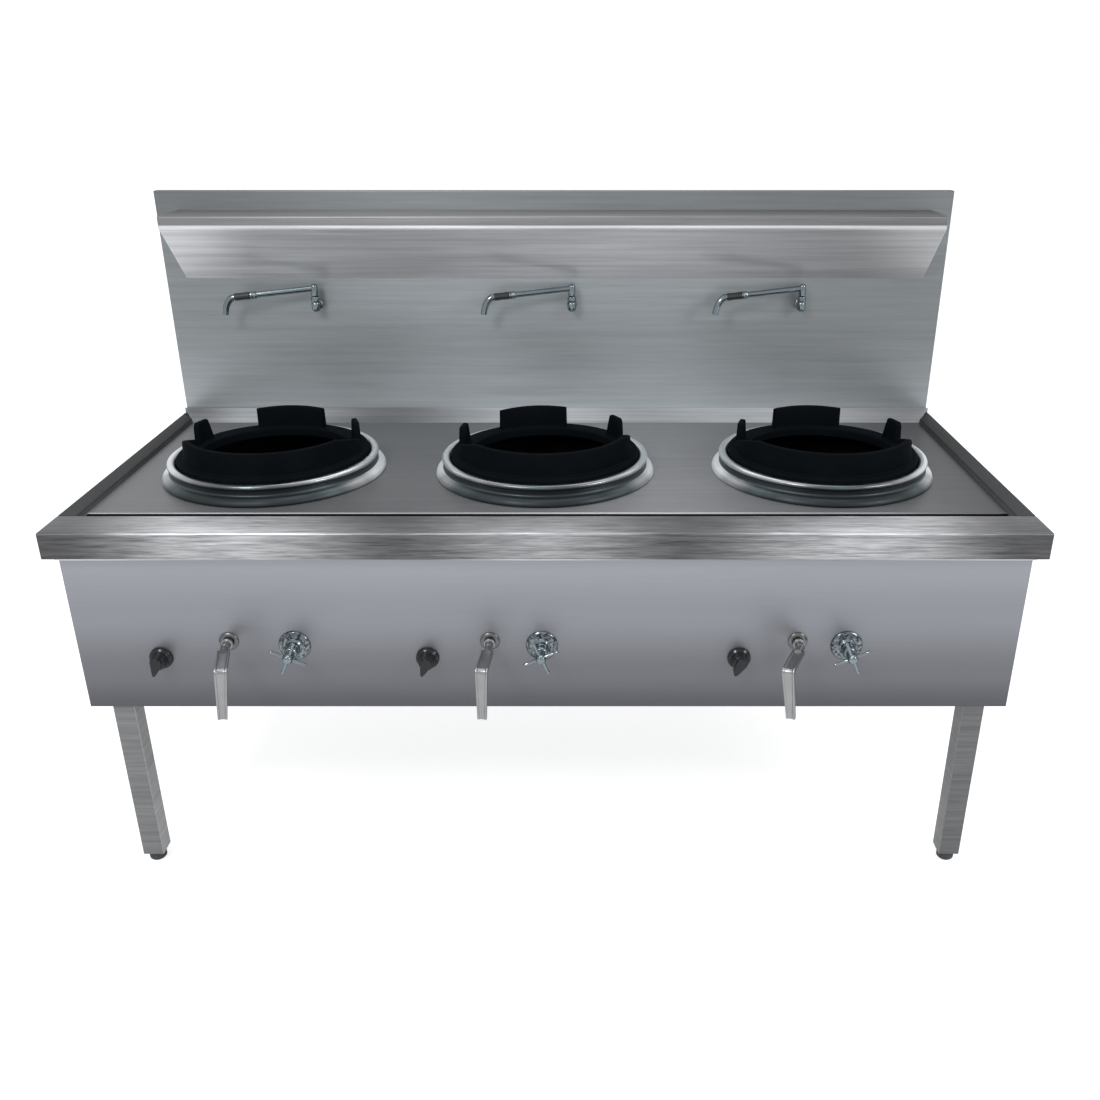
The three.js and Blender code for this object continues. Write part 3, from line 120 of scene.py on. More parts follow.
def rounded(outline: Sequence[Point], radius: float, steps: int = 3, closed: bool = True) -> list[Point]:
    """Rounds the corners of an outline.

    Args:
        outline: Corner points in order.
        radius: How far along each side the rounding starts.
        steps: Pieces that each rounding is made of.
        closed: Whether the last point joins the first.

    Returns:
        The points of the rounded outline.
    """
    points: list[Point] = []
    count = len(outline)
    for i, corner in enumerate(outline):
        if not closed and i in (0, count - 1):
            points.append(corner)
            continue
        here = Vector(corner)
        before = Vector(outline[i - 1]) - here
        after = Vector(outline[(i + 1) % count]) - here
        start = here + before.normalized() * min(radius, CORNER_SHARE * before.length)
        end = here + after.normalized() * min(radius, CORNER_SHARE * after.length)
        for step in range(steps + 1):
            t = step / steps
            p = start * (1 - t) ** 2 + here * 2 * t * (1 - t) + end * t**2
            points.append((p.x, p.y))
    return points


def left_of(path: Sequence[Vector], i: int) -> Vector:
    """The unit vector to the left of a path in a plane, at its point number i."""
    ahead = (path[min(i + 1, len(path) - 1)] - path[max(i - 1, 0)]).normalized()
    return Vector((-ahead.y, ahead.x))


def bent_outline(line: Sequence[Point], thickness: float, radius: float) -> list[Point]:
    """Gives a bent line of sheet metal its thickness.

    Args:
        line: Points of the outer face, in order.
        thickness: Thickness of the sheet, to the left of the line, or to its right if negative.
        radius: Outer bend radius.

    Returns:
        A closed outline.
    """
    outer = [Vector(p) for p in rounded(line, radius, FOLD_SEGMENTS, closed=False)]
    inner = [p + left_of(outer, i) * thickness for i, p in enumerate(outer)]
    return [tuple(p) for p in outer + inner[::-1]]


# ---------------------------------------------------------------- meshes


def linked(name: str, mesh: bpy.types.Mesh) -> Piece:
    """Puts a mesh into the scene as an object at the origin.

    Args:
        name: Name of the object.
        mesh: Its mesh.

    Returns:
        The object.
    """
    obj = bpy.data.objects.new(name, mesh)
    bpy.context.scene.collection.objects.link(obj)
    return obj


def shade(mesh: bpy.types.Mesh) -> None:
    """Shades a mesh smooth and keeps its sharp edges."""
    mesh.polygons.foreach_set("use_smooth", [True] * len(mesh.polygons))
    mesh.set_sharp_from_angle(angle=SHARP_ANGLE)


def point_outwards(bm: bmesh.types.BMesh) -> None:
    """Merges doubles and turns every face outwards."""
    bmesh.ops.remove_doubles(bm, verts=bm.verts, dist=DOUBLES)
    bmesh.ops.recalc_face_normals(bm, faces=bm.faces)


def edit_mesh(obj: Piece, change: Callable[[bmesh.types.BMesh], None]) -> None:
    """Runs one change on an object's mesh and shades the result.

    Args:
        obj: The object.
        change: What is done to its mesh.
    """
    bm = bmesh.new()
    bm.from_mesh(obj.data)
    change(bm)
    bm.to_mesh(obj.data)
    bm.free()
    shade(obj.data)


def add_object(name: str, vertices: Sequence[Sequence[float]], faces: Sequence[Sequence[int]]) -> Piece:
    """Makes an object at the origin, with its faces pointing outwards.

    Args:
        name: Name of the object and its mesh.
        vertices: Its points.
        faces: The numbers of each face's points.

    Returns:
        The object.
    """
    mesh = bpy.data.meshes.new(name)
    mesh.from_pydata([tuple(v) for v in vertices], [], [tuple(f) for f in faces])
    obj = linked(name, mesh)
    edit_mesh(obj, point_outwards)
    return obj


def quads(rows: int, columns: int, ring: bool = False, closed: bool = True) -> list[list[int]]:
    """Numbers the four-sided faces between neighbouring rows of points.

    Args:
        rows: How many rows there are.
        columns: Points in each row.
        ring: Whether the last row joins the first.
        closed: Whether the last point of a row joins its first.

    Returns:
        The point numbers of each face.
    """
    faces: list[list[int]] = []
    for row in range(rows if ring else rows - 1):
        here = row * columns
        there = (row + 1) % rows * columns
        for i in range(columns if closed else columns - 1):
            j = (i + 1) % columns
            faces.append([here + i, here + j, there + j, there + i])
    return faces


def lofted(name: str, rows: Sequence[Sequence[Sequence[float]]], ring: bool = False) -> Piece:
    """Joins closed rows of points into a solid.

    Args:
        name: Name of the object.
        rows: The rows, each with the same number of points.
        ring: Whether the last row joins the first. If not, a face closes each end.

    Returns:
        The closed solid.
    """
    n = len(rows[0])
    last = (len(rows) - 1) * n
    ends = [] if ring else [list(range(n)), list(range(last, last + n))]
    return add_object(name, [point for row in rows for point in row], ends + quads(len(rows), n, ring))


def extruded(name: str, outline: Sequence[Point], axis: Axis, start: float, end: float) -> Piece:
    """Draws an outline out along an axis.

    Args:
        name: Name of the object.
        outline: Closed outline in the two other axes, in X, Y, Z order.
        axis: Direction of the extrusion.
        start: Where it starts.
        end: Where it ends.

    Returns:
        The closed solid.
    """
    k = axis.value
    return lofted(name, [[(*point[:k], place, *point[k:]) for point in outline] for place in (start, end)])


def turned(
    name: str, profile: Sequence[Point], steps: int = 48, soften: float = 0.0, pieces: int = 3
) -> Piece:
    """Turns a profile about the Z axis through the origin.

    Args:
        name: Name of the object.
        profile: (radius, height) points; either from the axis to the axis, or closed on itself.
        steps: Faces around.
        soften: How far along each side the rounding of a corner starts, or 0 for sharp corners.
        pieces: Pieces that each rounding is made of.

    Returns:
        The turned solid, upright at the origin.
    """
    on_axis = profile[0][0] == 0
    if soften:
        profile = rounded(profile, soften, pieces, closed=not on_axis)
    rims = [p for p in profile if p[0] > 0]
    n = len(rims)
    vertices: list[tuple[float, float, float]] = []
    for i in range(steps):
        angle = math.tau * i / steps
        vertices += [(r * math.cos(angle), r * math.sin(angle), z) for r, z in rims]
    faces = quads(steps, n, ring=True, closed=not on_axis)
    if on_axis:
        first = len(vertices)
        vertices += [(0.0, 0.0, profile[0][1]), (0.0, 0.0, profile[-1][1])]
        for i in range(steps):
            j = (i + 1) % steps
            faces += [[first, j * n, i * n], [first + 1, i * n + n - 1, j * n + n - 1]]
    return add_object(name, vertices, faces)


def swept(name: str, stations: Sequence[Station], steps: int = 24) -> Piece:
    """Makes a round tube through stations.

    Args:
        name: Name of the object.
        stations: (centre, direction, radius) of each ring, in order. No direction is straight up or down.
        steps: Faces around.

    Returns:
        The tube, closed at both ends.
    """
    rings: list[list[Vector]] = []
    for middle, direction, radius in stations:
        ahead = direction.normalized()
        across = ahead.cross(Vector((0.0, 0.0, 1.0))).normalized()
        up = across.cross(ahead).normalized()
        turns = [math.tau * i / steps for i in range(steps)]
        rings.append([middle + (across * math.cos(a) + up * math.sin(a)) * radius for a in turns])
    return lofted(name, rings)


def settled(obj: Piece) -> Piece:
    """Turns an object's modifiers into plain mesh.

    Args:
        obj: The object.

    Returns:
        The same object.
    """
    bpy.context.view_layer.update()
    graph = bpy.context.evaluated_depsgraph_get()
    mesh = bpy.data.meshes.new_from_object(obj.evaluated_get(graph), depsgraph=graph)
    obj.modifiers.clear()
    old = obj.data
    obj.data = mesh
    bpy.data.meshes.remove(old)
    mesh.name = obj.name
    shade(mesh)
    return obj


def bevelled(obj: Piece, width: float) -> Piece:
    """Rounds the sharp edges of a finished solid.

    Args:
        obj: The solid.
        width: Width of the rounding.

    Returns:
        The same object.
    """
    bevel = obj.modifiers.new("edges", "BEVEL")
    bevel.width = width
    bevel.segments = BEVEL_SEGMENTS
    bevel.limit_method = "ANGLE"
    bevel.angle_limit = BEVEL_ANGLE
    return settled(obj)


def folded(obj: Piece, is_fold: Callable[[Edge], bool], fold: float, away: Vector, even: bool) -> Piece:
    """Turns a solid into a sheet-metal shell with rounded folds and one open side.

    Args:
        obj: The solid.
        is_fold: Says whether an edge is a fold.
        fold: Outer radius of the folds.
        away: The way that the open side looks.
        even: Whether the sheet keeps its full thickness at the corners.

    Returns:
        The same object, one sheet thick.
    """
    def fold_and_open(bm: bmesh.types.BMesh) -> None:
        """Rounds the folds and takes the open side out.

        Args:
            bm: The solid's mesh.
        """
        folds = [edge for edge in bm.edges if is_fold(edge)]
        bmesh.ops.bevel(bm, geom=folds, offset=fold, segments=FOLD_SEGMENTS, profile=0.5, affect="EDGES")
        side = [face for face in bm.faces if face.normal.dot(away) > OPEN_SIDE]
        bmesh.ops.delete(bm, geom=side, context="FACES")

    edit_mesh(obj, fold_and_open)
    shell = obj.modifiers.new("sheet", "SOLIDIFY")
    shell.thickness = SHEET
    shell.offset = -1.0
    shell.use_even_offset = even
    return settled(obj)


def folded_tray(name: str, plan: Sequence[Point], low: float, high: float, fold: float) -> Piece:
    """Makes a sheet-metal box that is open below, with rounded folds.

    Args:
        name: Name of the object.
        plan: Outer plan outline.
        low: Height of the open edge.
        high: Height of the flat top.
        fold: Outer radius of the folds.

    Returns:
        The tray, one sheet thick.
    """
    def is_fold(edge: Edge) -> bool:
        """Says whether an edge reaches the flat top."""
        return max(v.co.z for v in edge.verts) > high - ON_PLANE

    tray = extruded(name, plan, Axis.Z, low, high)
    return folded(tray, is_fold, fold, Vector((0.0, 0.0, -1.0)), even=True)


def joined(name: str, pieces: Sequence[Piece]) -> Piece:
    """Puts several meshes into one object and removes the originals.

    Args:
        name: Name of the new object.
        pieces: What goes into it.

    Returns:
        The new object.
    """
    bm = bmesh.new()
    for piece in pieces:
        bm.from_mesh(piece.data)
    mesh = bpy.data.meshes.new(name)
    bm.to_mesh(mesh)
    bm.free()
    for piece in pieces:
        bpy.data.objects.remove(piece)
    shade(mesh)
    return linked(name, mesh)


def moved(obj: Piece, *matrices: Matrix) -> Piece:
    """Moves an object's mesh and leaves the object at the origin.

    Args:
        obj: The object.
        matrices: The moves, of which the last one comes first.

    Returns:
        The same object.
    """
    whole = Matrix.Identity(4)
    for matrix in matrices:
        whole = whole @ matrix
    obj.data.transform(whole)
    if whole.determinant() < 0:
        edit_mesh(obj, point_outwards)
    return obj


def shift(x: float, y: float, z: float) -> Matrix:
    """A plain move."""
    return Matrix.Translation((x, y, z))


def spin(degrees: float, axis: Axis) -> Matrix:
    """A turn about an axis of the frame through the origin."""
    return Matrix.Rotation(math.radians(degrees), 4, axis.name)


TO_FRONT = spin(90, Axis.X)  # lays what points up so that it points to the front
TO_BACK = spin(-90, Axis.X)
TO_RIGHT = spin(90, Axis.Y)
MIRROR_Y = Matrix.Scale(-1, 4, (0, 1, 0))


# ---------------------------------------------------------------- material nodes


def add_node(tree: bpy.types.NodeTree, kind: str, feeds: Feeds, **settings: str) -> bpy.types.Node:
    """Adds a node to a tree.

    Args:
        tree: The tree.
        kind: Blender's name of the kind of node.
        feeds: For an input, by its name or place, the socket that it is linked to or its plain value.
        settings: Properties of the node, such as the operation of a Math node.

    Returns:
        The node.
    """
    node = tree.nodes.new(kind)
    for key, choice in settings.items():
        setattr(node, key, choice)
    for key, feed in feeds.items():
        if isinstance(feed, Socket):
            tree.links.new(feed, node.inputs[key])
        else:
            node.inputs[key].default_value = feed
    return node


@dataclass(frozen=True)
class Tone:
    """A slow change of shade along one axis, which the finishes use to paint in light, shade and reflections:
    (place in metres, share of the full colour).
    """

    axis: Axis
    stops: tuple[Stop, ...]


class NodeSheet:
    """The node tree of one material, with short ways to add what the finishes use."""

    def __init__(self, name: str) -> None:
        """Starts an empty tree with a shader, an output and Object coordinates.

        Args:
            name: Name of the material.
        """
        self.material = bpy.data.materials.new(name)
        self.material.use_nodes = True
        self.tree = self.material.node_tree
        self.tree.nodes.clear()
        self.shader = self.add("ShaderNodeBsdfPrincipled", {})
        self.add("ShaderNodeOutputMaterial", {"Surface": self.shader.outputs["BSDF"]})
        self.place = self.add("ShaderNodeTexCoord", {}).outputs["Object"]

    def add(self, kind: str, feeds: Feeds, **settings: str) -> bpy.types.Node:
        """Adds a node, as add_node does."""
        return add_node(self.tree, kind, feeds, **settings)

    def stretched(self, scale: Sequence[float], offset: Sequence[float] = (0.0, 0.0, 0.0)) -> Socket:
        """Object coordinates, scaled by a different number on each axis and moved by an offset."""
        feeds = {"Vector": self.place, "Scale": scale, "Location": offset}
        return self.add("ShaderNodeMapping", feeds).outputs["Vector"]

    def noise(self, vector: Socket, scale: float, detail: float) -> Socket:
        """Plain noise from 0 to 1 at a vector."""
        feeds = {"Vector": vector, "Scale": scale, "Detail": detail}
        return self.add("ShaderNodeTexNoise", feeds).outputs["Fac"]

    def ramp(self, tone: Tone) -> Socket:
        """The shade that a tone gives each place.

        Args:
            tone: The axis, and the stops along it.

        Returns:
            A colour that is held beyond the first and the last stop.
        """
        low, high = tone.stops[0][0], tone.stops[-1][0]
        split = self.add("ShaderNodeSeparateXYZ", {"Vector": self.place})
        feeds = {"Value": split.outputs[tone.axis.value], "From Min": low, "From Max": high}
        share = self.add("ShaderNodeMapRange", feeds).outputs["Result"]
        node = self.add("ShaderNodeValToRGB", {"Fac": share})
        node.color_ramp.interpolation = "EASE"
        while len(node.color_ramp.elements) < len(tone.stops):
            node.color_ramp.elements.new(0.5)
        for element, (place, shade_there) in zip(node.color_ramp.elements, tone.stops):
            element.position = (place - low) / (high - low)
            rgb = shade_there if isinstance(shade_there, tuple) else (shade_there,) * 3
            element.color = (*rgb, 1.0)
        return node.outputs["Color"]

    def sum_of(self, terms: Sequence[tuple[Socket, float]], start: float) -> Socket:
        """Adds centred values.

        Args:
            terms: (value, weight) pairs.
            start: What the sum is where every value is 0.5.

        Returns:
            The start plus the sum of (value - 0.5) * weight.
        """
        total: Feed = start - 0.5 * sum(weight for _, weight in terms)
        for value, weight in terms:
            step = self.add("ShaderNodeMath", {0: value, 1: weight, 2: total}, operation="MULTIPLY_ADD")
            total = step.outputs[0]
        return total

    def paint(self, amount: Socket, dark: Colour, light: Colour, tones: Sequence[Tone]) -> None:
        """Colours the surface.

        Args:
            amount: 0 where the surface is dark and 1 where it is light.
            dark: The dark colour.
            light: The light colour.
            tones: Slow changes of shade over it all, which paint in light and shade.
        """
        feeds = {0: amount, MIX_FIRST: (*dark, 1.0), MIX_SECOND: (*light, 1.0)}
        colour = self.add("ShaderNodeMix", feeds, data_type="RGBA").outputs[MIX_COLOUR]
        for tone in tones:
            feeds = {0: 1.0, MIX_FIRST: colour, MIX_SECOND: self.ramp(tone)}
            product = self.add("ShaderNodeMix", feeds, data_type="RGBA", blend_type="MULTIPLY")
            colour = product.outputs[MIX_COLOUR]
        self.tree.links.new(colour, self.shader.inputs["Base Color"])

    def roughen(self, terms: Sequence[tuple[Socket, float]], roughness: float) -> None:
        """Varies the roughness about its mean, as sum_of does."""
        self.tree.links.new(self.sum_of(terms, roughness), self.shader.inputs["Roughness"])

    def bump(self, height: Socket, distance: float, strength: float) -> None:
        """Gives the surface a relief from a height pattern."""
        feeds = {"Height": height, "Distance": distance, "Strength": strength}
        self.tree.links.new(self.add("ShaderNodeBump", feeds).outputs["Normal"], self.shader.inputs["Normal"])

    def set(self, **values: float) -> None:
        """Sets sockets of the shader that are the same all over."""
        for key, value in values.items():
            self.shader.inputs[key.replace("_", " ")].default_value = value


@dataclass(frozen=True)
class BrushedSteel:
    """Stainless sheet with straight brush lines, broad streaks and slow changes of tone that paint in light,
    shade and reflections.

    Across and along count the noise cells per metre, across the brush lines and along them.
    """

    name: str
    light: Colour
    dark: Colour
    grain: Axis = Axis.X
    metallic: float = 0.75
    roughness: float = 0.42
    line: float = 0.5
    streak: float = 0.5
    cloud: float = 0.4
    streak_width: float = 0.02
    length: float = 1.0
    fineness: float = 1.0
    specular: float = 0.5
    tones: tuple[Tone, ...] = ()
    lines_across: float = 420.0
    lines_along: float = 12.0
    bands_across: float = 170.0
    bands_along: float = 6.0
    streaks_along: float = 2.4
    streaks_from: tuple[float, float, float] = (3.0, 5.0, 7.0)
    clouds_scale: float = 2.2
    band_share: float = 1.3
    streak_share: float = 2.0
    rough_bands: float = 0.16
    rough_clouds: float = 0.12
    groove: float = 0.00004
    relief: float = 0.5

    def scales(self, across: float, along: float) -> list[float]:
        """Finds the noise cells per metre on each axis.

        Args:
            across: Cells per metre across the brush lines.
            along: Cells per metre along them, for brush lines of plain length.

        Returns:
            The three scales.
        """
        scale = [across] * 3
        scale[self.grain.value] = along / self.length
        return scale

    def material(self) -> bpy.types.Material:
        """Builds the finish.

        Returns:
            Its material.
        """
        sheet = NodeSheet(self.name)
        line_scales = self.scales(self.lines_across * self.fineness, self.lines_along)
        band_scales = self.scales(self.bands_across * self.fineness, self.bands_along)
        streak_scales = self.scales(1.0 / self.streak_width, self.streaks_along)
        lines = sheet.noise(sheet.stretched(line_scales), 1.0, PLAIN)
        bands = sheet.noise(sheet.stretched(band_scales), 1.0, RICH)
        streaks = sheet.noise(sheet.stretched(streak_scales, self.streaks_from), 1.0, FULL)
        clouds = sheet.noise(sheet.place, self.clouds_scale, FULL)
        terms = [(lines, self.line), (bands, self.line * self.band_share),
                 (streaks, self.streak * self.streak_share), (clouds, self.cloud)]
        sheet.paint(sheet.sum_of(terms, 0.5), self.dark, self.light, self.tones)
        sheet.roughen([(bands, self.rough_bands), (clouds, self.rough_clouds)], self.roughness)
        sheet.set(Metallic=self.metallic, Specular_IOR_Level=self.specular)
        sheet.bump(lines, self.groove, self.relief)
        return sheet.material


@dataclass(frozen=True)
class Polished:
    """Chrome or polished steel: a mirror with faint smears. The collar finishes add tones that paint in
    highlights, reflections and shade, and the flange finish's strong mottles are painted reflections.
    """

    name: str
    colour: Colour
    smear_and_reflection: Colour
    roughness: float = 0.16
    metallic: float = 1.0
    smear_and_reflection_scale: float = 28.0
    contrast: float = 1.2
    tones: tuple[Tone, ...] = ()
    haze_stretch: tuple[float, float, float] = (1.0, 1.0, 3.0)
    haze_scale: float = 320.0
    haze: float = 0.3
    smeared: float = 0.4
    rough_smears: float = 0.2
    rough_haze: float = 0.06
    depth: float = 0.00003
    relief: float = 0.3

    def material(self) -> bpy.types.Material:
        """Builds the finish.

        Returns:
            Its material.
        """
        sheet = NodeSheet(self.name)
        smears = sheet.noise(sheet.place, self.smear_and_reflection_scale, RICH)
        haze = sheet.noise(sheet.stretched(self.haze_stretch), self.haze_scale, PLAIN)
        amount = sheet.sum_of([(smears, self.contrast), (haze, self.haze)], self.smeared)
        sheet.paint(amount, self.colour, self.smear_and_reflection, self.tones)
        sheet.roughen([(smears, self.rough_smears), (haze, self.rough_haze)], self.roughness)
        sheet.set(Metallic=self.metallic)
        sheet.bump(haze, self.depth, self.relief)
        return sheet.material


@dataclass(frozen=True)
class Grainy:
    """Castings, mouldings and dull sheet: a fine irregular grain over patchy colour."""

    name: str
    light: Colour
    dark: Colour
    grain_size: float
    roughness: float
    metallic: float = 0.0
    depth: float = 0.0002
    specular: float = 0.5
    patch_scale: float = 14.0
    grain_contrast: float = 0.7
    patch_contrast: float = 1.4
    lightness: float = 0.45
    rough_grain: float = 0.12
    rough_patches: float = 0.3
    relief: float = 0.6

    def material(self) -> bpy.types.Material:
        """Builds the finish.

        Returns:
            Its material.
        """
        sheet = NodeSheet(self.name)
        grain = sheet.noise(sheet.place, 1.0 / self.grain_size, FULL)
        patches = sheet.noise(sheet.place, self.patch_scale, RICH)
        terms = [(grain, self.grain_contrast), (patches, self.patch_contrast)]
        sheet.paint(sheet.sum_of(terms, self.lightness), self.dark, self.light, ())
        sheet.roughen([(grain, self.rough_grain), (patches, self.rough_patches)], self.roughness)
        sheet.set(Metallic=self.metallic, Specular_IOR_Level=self.specular)
        sheet.bump(grain, self.depth, self.relief)
        return sheet.material


